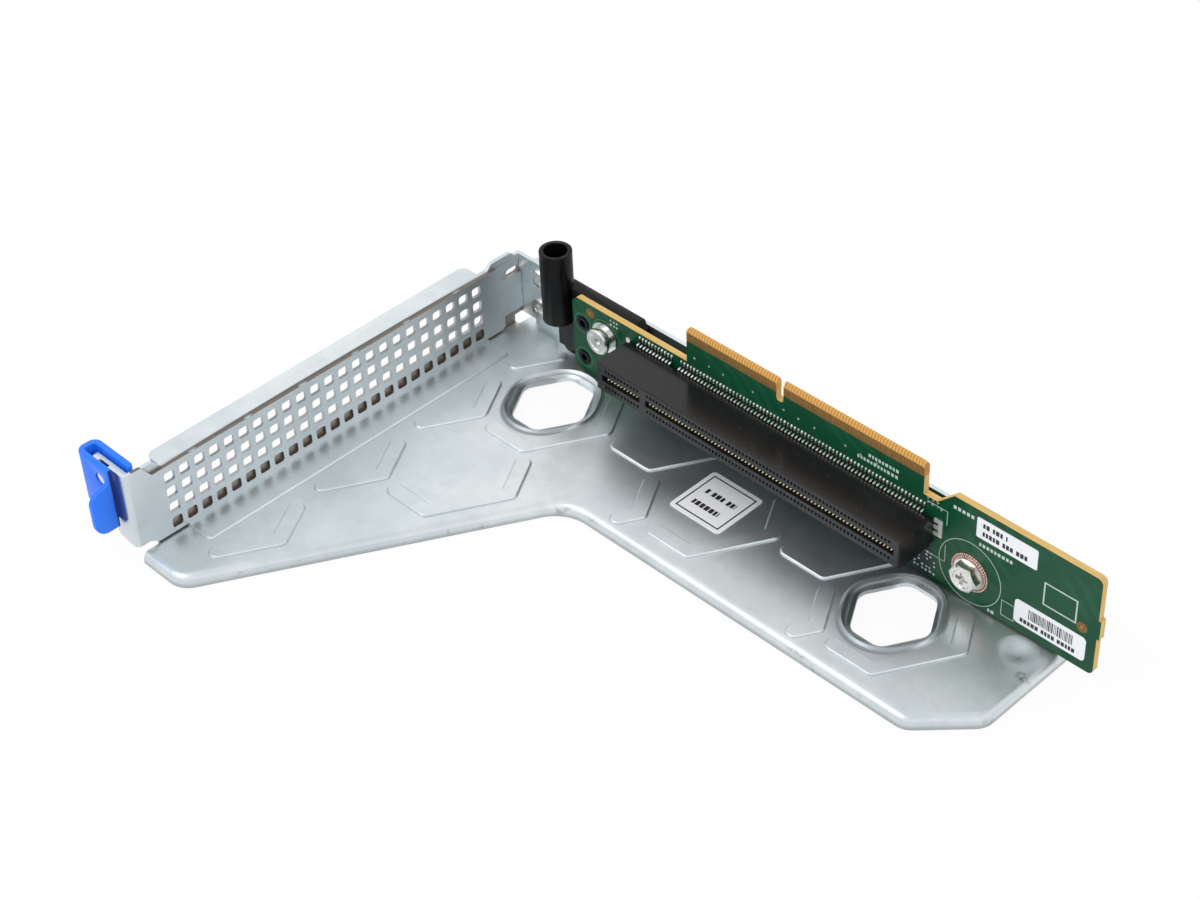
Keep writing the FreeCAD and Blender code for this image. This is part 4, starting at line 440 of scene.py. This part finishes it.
def board_laminate(f, tab_top):
    """The board's sides: layered laminate with painted shade underneath, and cut fingers on the tab's bevel.
    """
    layers = f.noise(2600, stretch=(0.04, 1.0, 0.04), detail=1.0)
    laminate = f.blend(layers, rgb(188, 150, 84), rgb(230, 198, 128))
    step = f.math("DIVIDE", f.math("SUBTRACT", f.place("X"), FINGERS_LEFT), FINGER_PITCH)
    off_finger = f.math("ABSOLUTE", f.math("SUBTRACT", f.math("FRACT", step), 0.34))
    cut_finger = f.between(off_finger, 0.26, 0.36, 1.0, 0.0)
    bevel = f.blend(cut_finger, rgb(182, 132, 68), rgb(222, 168, 90))
    laminate = f.blend(tab_top, laminate, bevel)
    return f.blend(f.below("Z", BOARD_LOW.z + 0.05 * MM), laminate, rgb(74, 70, 52))


def solder_mask():
    """The board: green mask over faint copper tracks on its faces, painted shade below the housing, bare
    laminate on its sides.
    """
    f = Finish("board")
    weave = f.add("ShaderNodeTexWave", wave_type="BANDS", bands_direction="DIAGONAL")
    f.fill(weave, Vector=f.spot, Scale=120.0, Distortion=9.0, Detail=2.0, Detail_Scale=0.6)
    zones = f.between(f.noise(55, detail=0.0), 0.47, 0.53)
    tracks = f.times(f.between(weave.outputs["Fac"], 0.42, 0.58), zones)
    f.coat(f.blend(f.times(tracks, 0.35), rgb(12, 72, 46), rgb(24, 96, 64)))
    half_housing = (HOUSING_HIGH.x - HOUSING_LOW.x) / 2
    under_housing_shade = f.math("LESS_THAN", f.off("X", HOUSING_LOW.x + half_housing), half_housing)
    f.paint(f.times(under_housing_shade, f.below("Z", HOUSING_LOW.z), 0.8), rgb(38, 50, 60))
    tab_top = f.between(f.place("Z"), FINGER_FOOT_Z - 0.2 * MM, FINGER_FOOT_Z + 0.2 * MM)
    f.paint(tab_top, rgb(140, 108, 62))
    side = f.between(f.facing("Y"), 0.90, 0.97, 1.0, 0.0)
    f.paint(side, board_laminate(f, tab_top))
    f.set(Roughness=f.between(side, 0.0, 1.0, 0.30, 0.62), Specular_IOR_Level=0.2)
    f.bumps((tracks, 0.25, 0.00003), (f.noise(2200), 0.10, 0.00003))
    return f.material


def ink(name, colour):
    """Print on board or paper: nearly flat, a little worn through."""
    f = Finish(name)
    wear = f.between(f.noise(2400, detail=3.0, rough=0.7), 0.25, 0.6)
    f.coat(f.blend(wear, shaded(colour, 0.8), colour))
    f.set(Roughness=0.55)
    f.bumps((wear, 0.1, 0.00002))
    return f.material


def label_paper():
    f = Finish("label_paper")
    fibres = f.noise(1500, detail=4.0, rough=0.65)
    f.coat(f.blend(fibres, rgb(236, 238, 244), rgb(250, 251, 254)))
    f.set(Roughness=0.45)
    f.bumps((fibres, 0.10, 0.00003))
    return f.material


FINISHES = {
    "zinc_steel": zinc_steel(),
    "cover_steel": cover_steel(),
    "blue_plastic": blue_plastic(),
    "bright_steel": bright_metal("bright_steel", rgb(230, 230, 228), 0.20).material,
    "board": solder_mask(),
    "gold": bright_metal("gold", rgb(178, 138, 84), 0.42).material,
    "connector_plastic": connector_plastic(),
    "contact_metal": contact_metal(),
    "tin": bright_metal("tin", rgb(242, 242, 238), 0.40, metallic=0.55).material,
    "black_plastic": black_plastic(),
    "copper": bright_metal("copper", rgb(206, 134, 108), 0.32).material,
    "label_paper": label_paper(),
}
# a pale gold for the contacts' crests, lighter than the plating in the slot: painted highlight
CREST_HIGHLIGHT_GOLD = bright_metal("crest_highlight_gold", rgb(255, 250, 226), 0.25, metallic=0.30).material
WHITE_INK = ink("white_ink", rgb(196, 214, 204))
FAINT_INK = ink("faint_ink", rgb(82, 128, 104))
BLACK_INK = ink("black_ink", rgb(36, 36, 42))
DARK_LACQUER = ink("dark_lacquer", rgb(96, 30, 22))
FIDUCIAL_LACQUER = ink("fiducial_lacquer", rgb(126, 92, 28))


def slot_name(place):
    """The name of a piece's slot; a number after a dot isn't part of it."""
    return place.material.name.split(".")[0]


def dress_nodes():
    """Gives every carried-over piece the finish of its slot."""
    for node in NODES.values():
        for place in node.material_slots:
            place.material = FINISHES[slot_name(place)]


# Tools for the pieces added to the solids

def to_data(mesh, name):
    """Turns a gathered mesh into mesh data, with its faces pointing outwards."""
    bmesh.ops.recalc_face_normals(mesh, faces=mesh.faces)
    data = bpy.data.meshes.new(name)
    mesh.to_mesh(data)
    mesh.free()
    return data


def add_piece(name, data, material):
    """One piece that rides on the cage."""
    piece = bpy.data.objects.new(name, data)
    bpy.context.scene.collection.objects.link(piece)
    data.materials.clear()
    data.materials.append(material)
    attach(piece, "root")
    return piece


class Sheet:
    """Thin closed shapes gathered into one mesh; they lie on a plane and stand out from it."""

    def __init__(self, origin, across, up, thickness):
        self.mesh = bmesh.new()
        self.origin = Vector(origin)
        self.across = Vector(across)
        self.up = Vector(up)
        self.out = self.across.cross(self.up)
        self.thickness = thickness

    def at(self, x, y, level):
        return self.origin + self.across * x + self.up * y + self.out * level

    def plate(self, corners):
        """A flat plate; its corners run anticlockwise as seen from outside."""
        low = [self.mesh.verts.new(self.at(x, y, 0)) for x, y in corners]
        high = [self.mesh.verts.new(self.at(x, y, self.thickness)) for x, y in corners]
        self.mesh.faces.new(high)
        self.mesh.faces.new(low[::-1])
        for index in range(len(corners)):
            after = (index + 1) % len(corners)
            self.mesh.faces.new((low[index], low[after], high[after], high[index]))

    def bar(self, left, bottom, width, height):
        self.plate([(left, bottom), (left + width, bottom),
                    (left + width, bottom + height), (left, bottom + height)])

    def line(self, start, end, width):
        """A straight stroke, square at its ends."""
        run = Vector((end[0] - start[0], end[1] - start[1])).normalized() * (width / 2)
        side = Vector((-run.y, run.x))
        self.plate([(start[0] - run.x - side.x, start[1] - run.y - side.y),
                    (end[0] + run.x - side.x, end[1] + run.y - side.y),
                    (end[0] + run.x + side.x, end[1] + run.y + side.y),
                    (start[0] - run.x + side.x, start[1] - run.y + side.y)])

    def frame(self, left, bottom, width, height, stroke):
        """Four bars that meet edge to edge and leave the middle empty."""
        self.bar(left, bottom, width, stroke)
        self.bar(left, bottom + height - stroke, width, stroke)
        self.bar(left, bottom + stroke, stroke, height - 2 * stroke)
        self.bar(left + width - stroke, bottom + stroke, stroke, height - 2 * stroke)

    def ring(self, centre, inner, outer, start=0.0, sweep=360.0, steps=48):
        """A flat ring or a part of one; angles in degrees."""
        whole = sweep >= 360.0
        count = steps if whole else steps + 1
        loops = []
        for radius, level in ((inner, 0), (outer, 0), (outer, self.thickness), (inner, self.thickness)):
            loop = []
            for index in range(count):
                angle = math.radians(start + sweep * index / steps)
                x = centre[0] + radius * math.cos(angle)
                y = centre[1] + radius * math.sin(angle)
                loop.append(self.mesh.verts.new(self.at(x, y, level)))
            loops.append(loop)
        for first, second in zip(loops, loops[1:] + loops[:1]):
            for index in range(steps):
                after = (index + 1) % count
                self.mesh.faces.new((first[index], first[after], second[after], second[index]))
        if not whole:
            self.mesh.faces.new([loop[0] for loop in loops])
            self.mesh.faces.new([loop[-1] for loop in loops][::-1])

    def finish(self, name, material):
        """Turns the gathered shapes into one piece."""
        return add_piece(name, to_data(self.mesh, name), material)


def stamp_tree():
    """Puts one shape on every point, each a little turned and scaled, as one mesh."""
    tree = bpy.data.node_groups.new("stamp_on_points", "GeometryNodeTree")
    for label, kind in (("Points", "Geometry"), ("Shape", "Object"), ("Size Spread", "Float"),
                        ("Turn Spread", "Float"), ("Seed", "Int"), ("Finish", "Material")):
        tree.interface.new_socket(label, in_out="INPUT", socket_type="NodeSocket" + kind)
    tree.interface.new_socket("Stamped", in_out="OUTPUT", socket_type="NodeSocketGeometry")
    given = tree.nodes.new("NodeGroupInput").outputs
    result = tree.nodes.new("NodeGroupOutput")
    shape = tree.nodes.new("GeometryNodeObjectInfo")
    stamped = tree.nodes.new("GeometryNodeInstanceOnPoints")
    size = tree.nodes.new("FunctionNodeRandomValue")
    turn = tree.nodes.new("FunctionNodeRandomValue")
    about = tree.nodes.new("ShaderNodeCombineXYZ")
    real = tree.nodes.new("GeometryNodeRealizeInstances")
    paint = tree.nodes.new("GeometryNodeSetMaterial")
    feed(tree, size.inputs[2], maths(tree, "SUBTRACT", 1.0, given["Size Spread"]))
    feed(tree, size.inputs[3], maths(tree, "ADD", 1.0, given["Size Spread"]))
    feed(tree, size.inputs["Seed"], given["Seed"])
    feed(tree, turn.inputs[2], maths(tree, "MULTIPLY", given["Turn Spread"], -1.0))
    feed(tree, turn.inputs[3], given["Turn Spread"])
    feed(tree, turn.inputs["Seed"], given["Seed"])
    feed(tree, about.inputs["Y"], turn.outputs[1])
    feed(tree, shape.inputs["Object"], given["Shape"])
    feed(tree, stamped.inputs["Points"], given["Points"])
    feed(tree, stamped.inputs["Instance"], shape.outputs["Geometry"])
    feed(tree, stamped.inputs["Rotation"], about.outputs[0])
    feed(tree, stamped.inputs["Scale"], size.outputs[1])
    feed(tree, real.inputs[0], stamped.outputs[0])
    feed(tree, paint.inputs["Geometry"], real.outputs[0])
    feed(tree, paint.inputs["Material"], given["Finish"])
    feed(tree, result.inputs[0], paint.outputs[0])
    return tree


STAMP_TREE = stamp_tree()


def stamp(name, shape, points, material, seed, size_spread, turn_spread=0.0):
    """One piece from a shape (a mesh) repeated on points."""
    objects = bpy.context.scene.collection.objects
    model = bpy.data.objects.new(name + "_shape", shape)
    objects.link(model)
    places = bpy.data.meshes.new(name + "_points")
    places.from_pydata([tuple(p) for p in points], [], [])
    holder = bpy.data.objects.new(name + "_holder", places)
    objects.link(holder)
    modifier = holder.modifiers.new("stamp", "NODES")
    modifier.node_group = STAMP_TREE
    settings = {"Shape": model, "Size Spread": size_spread, "Turn Spread": turn_spread,
                "Seed": seed, "Finish": material}
    for item in STAMP_TREE.interface.items_tree:
        if item.in_out == "INPUT" and item.name in settings:
            modifier[item.identifier] = settings[item.name]
    bpy.context.view_layer.update()
    graph = bpy.context.evaluated_depsgraph_get()
    data = bpy.data.meshes.new_from_object(holder.evaluated_get(graph))
    holder.modifiers.clear()
    bpy.data.objects.remove(holder)
    bpy.data.objects.remove(model)
    data.name = name
    return add_piece(name, data, material)


def turned_mesh(name, profile, steps=8):
    """A closed mesh turned about Y from (radius, y) points in mm that start and end on the axis."""
    mesh = bmesh.new()
    loops = []
    for radius, y in profile:
        radius *= MM
        y *= MM
        if radius == 0:
            loops.append([mesh.verts.new((0, y, 0))] * steps)
            continue
        loop = []
        for index in range(steps):
            angle = 2 * math.pi * index / steps
            loop.append(mesh.verts.new((radius * math.cos(angle), y, radius * math.sin(angle))))
        loops.append(loop)
    for first, second in zip(loops, loops[1:]):
        for index in range(steps):
            after = (index + 1) % steps
            corners = []
            for corner in (first[index], first[after], second[after], second[index]):
                if corner not in corners:
                    corners.append(corner)
            mesh.faces.new(corners).smooth = True
    return to_data(mesh, name)


def rounded_copy(node, width):
    """A merged copy of a piece with its sharp edges rounded; it is shown in the piece's place."""
    flat = math.radians(1)
    smooth = math.radians(30)
    sharp = math.radians(35)
    mesh = bmesh.new()
    mesh.from_mesh(NODES[node].data)
    bmesh.ops.remove_doubles(mesh, verts=mesh.verts, dist=1e-6)
    bmesh.ops.dissolve_limit(mesh, angle_limit=flat, verts=mesh.verts, edges=mesh.edges)
    edges = [e for e in mesh.edges if len(e.link_faces) == 2 and e.calc_face_angle() > sharp]
    bmesh.ops.bevel(mesh, geom=edges, offset=width, segments=2, profile=0.5, affect="EDGES",
                    clamp_overlap=True)
    bmesh.ops.recalc_face_normals(mesh, faces=mesh.faces)
    for face in mesh.faces:
        face.smooth = True
    for edge in mesh.edges:
        edge.smooth = len(edge.link_faces) == 2 and edge.calc_face_angle() < smooth
    slot = slot_name(NODES[node].material_slots[0])
    piece = add_piece(node + "_rounded", to_data(mesh, node + "_rounded"), FINISHES[slot])
    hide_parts(node)


# Solder, contacts and fasteners

def lead_places():
    """X of every lead, left to right."""
    return [first + CONTACT_PITCH * index for first, count in CONTACT_GROUPS for index in range(count)]


def add_solder():
    """Solder on the board where the leads' toes lie."""
    mound = turned_mesh("mound", [(0, 0.02), (0.29, 0.02), (0.27, -0.10), (0.15, -0.33), (0, -0.37)])
    toe_stretch = 1.3
    for corner in mound.vertices:
        corner.co.z *= toe_stretch
    inset = 0.2 * MM
    for name, level in (("upper", UPPER_HIGH.z - inset), ("lower", LOWER_LOW.z + inset)):
        spots = [(x, BOARD_FRONT, level) for x in lead_places()]
        stamp("solder_" + name, mound, spots, FINISHES["tin"], seed=3, size_spread=0.12,
              turn_spread=0.05)


def add_contact_crests():
    """The rounded crest of every contact, where a card's edge would touch it; its pale gold is partly the
    plating's own colour and partly painted highlight.
    """
    crest = turned_mesh("crest", [(0, 0.5), (0.18, 0.38), (0.25, 0.1), (0.25, -0.15), (0.14, -0.38),
                                  (0, -0.42)])
    inset = 0.08 * MM
    for name, level in (("upper", UPPER_LOW.z + inset), ("lower", LOWER_HIGH.z - inset)):
        spots = [(x, LOWER_LOW.y + 0.45 * MM, level) for x in lead_places()]
        stamp("contact_crests_" + name, crest, spots, CREST_HIGHLIGHT_GOLD, seed=9,
              size_spread=0.05)


def add_screw_pad_dots():
    """Two rings of tinned dots round the screw, with dark lacquer between them."""
    outer_count = 46
    dot = turned_mesh("dot", [(0, 0), (0.21, 0), (0.17, -0.07), (0, -0.10)])
    spots = []
    for radius, count in ((4.55 * MM, outer_count), (3.95 * MM, 40)):
        for index in range(count):
            angle = 2 * math.pi * index / count
            spots.append((SCREW_X + radius * math.cos(angle), PAD_FRONT,
                          SCREW_Z + radius * math.sin(angle)))
    stamp("pad_dots", dot, spots, FINISHES["tin"], seed=7, size_spread=0.1)
    gaps = Sheet((0, PAD_FRONT, 0), (1, 0, 0), (0, 0, 1), PRINT_THICKNESS)
    for inner, outer in ((4.22 * MM, 4.30 * MM), (3.60 * MM, 3.68 * MM)):
        gaps.ring((SCREW_X, SCREW_Z), inner, outer)
    for index in range(0, outer_count, 2):
        angle = math.radians(360 * (index + 0.5) / outer_count)
        ends = [(SCREW_X + reach * math.cos(angle), SCREW_Z + reach * math.sin(angle))
                for reach in (4.35 * MM, 4.7 * MM)]
        gaps.line(ends[0], ends[1], 0.12 * MM)
    gaps.finish("pad_lacquer", DARK_LACQUER)


def add_cover_nibs():
    """What is left of the sheet's feed tabs along the cover's upper edge."""
    nib = turned_mesh("nib", [(0, 0), (0.5, 0), (0.42, 0.2), (0, 0.3)], 6)
    nib.transform(Matrix.Rotation(math.radians(90), 4, "X") @ Matrix.Diagonal((0.9, 1.0, 3.0, 1.0)))
    middle = COVER_HIGH.x - COVER_SHEET / 2
    spots = [(middle, y * MM, COVER_TOP_Z) for y in (-38.0, -22.5, -7.0, 8.5, 24.0, 39.5)]
    stamp("cover_nibs", nib, spots, FINISHES["cover_steel"], seed=17, size_spread=0.15)


# Marks on the housing, the board and the labels

def add_housing_mark():
    """A small dark mark of ink on top of the housing, at its front left corner."""
    p = Sheet((HOUSING_LOW.x, HOUSING_LOW.y, HOUSING_HIGH.z), (1, 0, 0), (0, 1, 0), PRINT_THICKNESS)
    p.line((1.0 * MM, 0.8 * MM), (1.9 * MM, 0.55 * MM), HEAVY_LINE)
    p.ring((1.05 * MM, 1.35 * MM), 0.2 * MM, 0.5 * MM, start=120, sweep=200, steps=12)
    p.finish("housing_mark", BLACK_INK)


def add_vias():
    """Plated through holes in loose rows: a tinned ring each."""
    chance = random.Random(11)
    spots = []
    for left, bottom, columns, rows, step in ((47.2, 5.2, 6, 6, 1.05), (-43.6, 22.0, 3, 2, 1.1),
                                              (-17.0, 26.2, 14, 1, 4.4), (49.9, 24.0, 4, 2, 1.2)):
        for column in range(columns):
            for row in range(rows):
                if chance.random() < 0.7:
                    spots.append(((left + column * step + chance.uniform(-0.15, 0.15)) * MM, BOARD_FRONT,
                                  (bottom + row * step + chance.uniform(-0.1, 0.1)) * MM))
    via = Sheet((0, 0, 0), (1, 0, 0), (0, 0, 1), PLATING_THICKNESS)
    via.ring((0, 0), 0.12 * MM, 0.27 * MM, steps=10)
    stamp("vias", to_data(via.mesh, "via"), spots, FINISHES["tin"], seed=13, size_spread=0.15)


def add_fiducials():
    """Round sighting marks: a gold dot in a lacquered ring."""
    rings = Sheet(*BOARD_PLANE, PRINT_THICKNESS)
    dots = Sheet(*BOARD_PLANE, PLATING_THICKNESS)
    for x, z in ((-50.2, 21.8), (90.1, 14.6)):
        rings.ring((x * MM, z * MM), 0.6 * MM, 1.33 * MM, steps=32)
        dots.ring((x * MM, z * MM), 0.02 * MM, 0.5 * MM, steps=24)
    rings.finish("fiducial_rings", FIDUCIAL_LACQUER)
    dots.finish("fiducial_dots", FINISHES["gold"])


def print_housing_brackets(p):
    """The white brackets that mark the housing's right end."""
    reach = 3.2 * MM
    corner = HOUSING_HIGH.x + reach
    top = HOUSING_HIGH.z + reach
    bottom = HOUSING_LOW.z - reach
    p.line((LEAD_END_X, top), (corner, top), THIN_LINE)
    p.line((LEAD_END_X, bottom), (corner, bottom), THIN_LINE)
    p.line((corner, top), (corner, HOUSING_HIGH.z - 0.5 * MM), THIN_LINE)
    p.line((corner, bottom), (corner, HOUSING_LOW.z + 1.5 * MM), THIN_LINE)


def print_ticks(p):
    """Short rows of small white bars; a row is (left, bottom, count), with its place in mm."""
    for index in range(5):
        p.bar((56.4 + 1.15 * index) * MM, 26.3 * MM, 0.75 * MM, 0.9 * MM)
    chance = random.Random(21)
    for left, bottom, count in ((63.5, 20.3, 9), (30.5, 25.2, 12), (33.5, 26.9, 9), (66.9, 3.9, 2)):
        x = left
        for _ in range(count):
            wide = chance.uniform(0.45, 0.8)
            p.bar(x * MM, bottom * MM, wide * MM, 0.85 * MM)
            x += wide + 0.35


def add_board_print():
    """White print on the board, and faint rings round the stud and the carrier's pins."""
    p = Sheet(*BOARD_PLANE, PRINT_THICKNESS)
    p.ring((SCREW_X, SCREW_Z), 8.05 * MM, 8.05 * MM + THIN_LINE, steps=96)
    print_housing_brackets(p)
    p.frame(70.2 * MM, 5.2 * MM, 3.4 * MM, 4.2 * MM, THIN_LINE)
    p.frame(80.2 * MM, 14.6 * MM, 8.4 * MM, 6.2 * MM, HEAVY_LINE)
    print_ticks(p)
    p.finish("board_print", WHITE_INK)
    faint = Sheet(*BOARD_PLANE, PRINT_THICKNESS)
    for z in PIN_LEVELS:
        faint.ring((PIN_X, z), 2.55 * MM, 2.55 * MM + THIN_LINE)
    faint.ring((STUD_X, STUD_Z), 4.3 * MM, 4.3 * MM + THIN_LINE)
    faint.finish("pin_rings", FAINT_INK)


def rows_of_bars(sheet, left, bottom, rows, seed):
    """Rows of plain bars; each row is (length, height, rise above the last) in mm."""
    chance = random.Random(seed)
    level = bottom
    for length, height, rise in rows:
        level += rise * MM
        x = 0.0
        while x < length:
            wide = min(chance.uniform(0.45, 0.75) * height, length - x)
            sheet.bar(left + x * MM, level, max(wide, 0.2) * MM, height * MM)
            x += wide + chance.choice((0.2, 0.2, 0.2, 0.7)) * height


def add_tray_label_print():
    low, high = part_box("tray_label")
    margin = 1.1 * MM
    side = 12.8 * MM
    p = Sheet((0, 0, high.z), (1, 0, 0), (0, 1, 0), PRINT_THICKNESS)
    p.frame(low.x + margin, low.y + margin, side, side, HEAVY_LINE)
    rows_of_bars(p, low.x + 3.2 * MM, low.y + 3.9 * MM, [(7.6, 1.5, 0), (8.6, 1.5, 4.4)], seed=31)
    p.finish("tray_label_print", BLACK_INK)


def add_part_label_print():
    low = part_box("part_label")[0]
    p = Sheet((0, low.y, 0), (1, 0, 0), (0, 0, 1), PRINT_THICKNESS)
    rows_of_bars(p, low.x + 1.6 * MM, low.z + 0.9 * MM, [(11.6, 1.2, 0), (6.2, 1.2, 2.2)], seed=32)
    p.finish("part_label_print", BLACK_INK)


def add_serial_label_print():
    """A row of plain bars below a field of fine upright stripes."""
    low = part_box("serial_label")[0]
    p = Sheet((0, low.y, 0), (1, 0, 0), (0, 0, 1), PRINT_THICKNESS)
    rows_of_bars(p, low.x + 1.6 * MM, low.z + 0.8 * MM, [(13.8, 1.1, 0)], seed=33)
    chance = random.Random(34)
    x = 3.6
    right = 14.6
    while x < right:
        wide = chance.choice((0.14, 0.14, 0.22, 0.32))
        p.bar(low.x + x * MM, low.z + 2.6 * MM, wide * MM, 2.7 * MM)
        x += wide + chance.choice((0.16, 0.16, 0.26))
    p.finish("serial_label_print", BLACK_INK)


# Stage, light and camera

def make_stage():
    """A pale floor that shows white to the eye and to gloss, and keeps the object's shadow."""
    gap = 0.1 * MM
    glow_share = 0.92
    bpy.ops.mesh.primitive_plane_add(size=6.0, location=(0, 0, TRAY_LOW.z - gap))
    floor = bpy.context.object
    floor.name = "floor"
    material = bpy.data.materials.new("floor_white")
    material.use_nodes = True
    tree = material.node_tree
    diffuse = tree.nodes["Principled BSDF"]
    diffuse.inputs["Base Color"].default_value = (0.92, 0.92, 0.92, 1)
    diffuse.inputs["Roughness"].default_value = 1.0
    diffuse.inputs["Specular IOR Level"].default_value = 0.0
    glow = tree.nodes.new("ShaderNodeEmission")
    glow.inputs["Strength"].default_value = 1.0
    rays = tree.nodes.new("ShaderNodeLightPath").outputs
    seen = maths(tree, "MAXIMUM", rays["Is Camera Ray"], rays["Is Glossy Ray"])
    seen = maths(tree, "MAXIMUM", seen, rays["Is Transmission Ray"])
    mixed = tree.nodes.new("ShaderNodeMixShader")
    feed(tree, mixed.inputs[0], maths(tree, "MULTIPLY", seen, glow_share))
    feed(tree, mixed.inputs[1], diffuse.outputs[0])
    feed(tree, mixed.inputs[2], glow.outputs[0])
    feed(tree, tree.nodes["Material Output"].inputs["Surface"], mixed.outputs[0])
    floor.data.materials.append(material)


def make_world():
    """A light tent: brightest halfway up, darker overhead and towards the horizon."""
    world = bpy.data.worlds.new("tent")
    bpy.context.scene.world = world
    world.use_nodes = True
    tree = world.node_tree
    spot = tree.nodes.new("ShaderNodeTexCoord")
    tilt = tree.nodes.new("ShaderNodeVectorMath")
    tilt.operation = "DOT_PRODUCT"
    tilt.inputs[1].default_value = (0.0, 0.0, 1.0)
    feed(tree, tilt.inputs[0], spot.outputs["Generated"])
    levels = []
    for low, high, at_low, at_high in ((-0.1, 0.5, 0.66, 1.17), (0.55, 1.0, 1.0, 0.74)):
        ramp = tree.nodes.new("ShaderNodeMapRange")
        for label, level in (("Value", tilt.outputs["Value"]), ("From Min", low), ("From Max", high),
                             ("To Min", at_low), ("To Max", at_high)):
            feed(tree, ramp.inputs[label], level)
        levels.append(ramp.outputs["Result"])
    rays = tree.nodes.new("ShaderNodeLightPath").outputs
    strength = tree.nodes.new("ShaderNodeMix")
    strength.data_type = "FLOAT"
    feed(tree, strength.inputs[0], rays["Is Camera Ray"])
    feed(tree, strength.inputs[2], maths(tree, "MULTIPLY", levels[0], levels[1]))
    feed(tree, strength.inputs[3], 1.0)
    back = tree.nodes["Background"]
    back.inputs["Color"].default_value = WHITE
    feed(tree, back.inputs["Strength"], strength.outputs[0])


def make_lamp(name, place, aim, size, watts):
    lamp = bpy.data.lights.new(name, "AREA")
    lamp.shape = "RECTANGLE"
    lamp.size = size
    lamp.size_y = size
    lamp.energy = watts
    holder = bpy.data.objects.new(name, lamp)
    holder.location = place
    holder.rotation_euler = (Vector(aim) - Vector(place)).to_track_quat("-Z", "Y").to_euler()
    bpy.context.scene.collection.objects.link(holder)


def make_camera():
    """The photograph's eye: place, aim on the floor's level, roll, and lens for a 36 mm sensor."""
    place = Vector((286.2, -257.1, 368.2)) * MM
    aim = Vector((-32.8, 39.8, 0.0)) * MM
    roll = math.radians(-2.77)
    camera = bpy.data.cameras.new("eye")
    camera.sensor_width = 36.0
    camera.lens = 74.81
    camera.clip_start = 0.01
    holder = bpy.data.objects.new("eye", camera)
    turn = (aim - place).to_track_quat("-Z", "Y").to_matrix().to_4x4() @ Matrix.Rotation(roll, 4, "Z")
    holder.matrix_world = Matrix.Translation(place) @ turn
    bpy.context.scene.collection.objects.link(holder)
    bpy.context.scene.camera = holder


dress_nodes()
add_solder()
add_contact_crests()
add_housing_mark()
add_screw_pad_dots()
add_vias()
add_fiducials()
add_board_print()
add_tray_label_print()
add_part_label_print()
add_serial_label_print()
add_cover_nibs()
rounded_copy("pull_cap", 0.3 * MM)
rounded_copy("guide_carrier", 0.2 * MM)
make_stage()
make_world()
make_lamp("key", place=(-0.35, -0.55, 0.95), aim=(0, 0, 0), size=0.6, watts=2.0)
make_camera()
bpy.context.scene.view_settings.view_transform = "Standard"
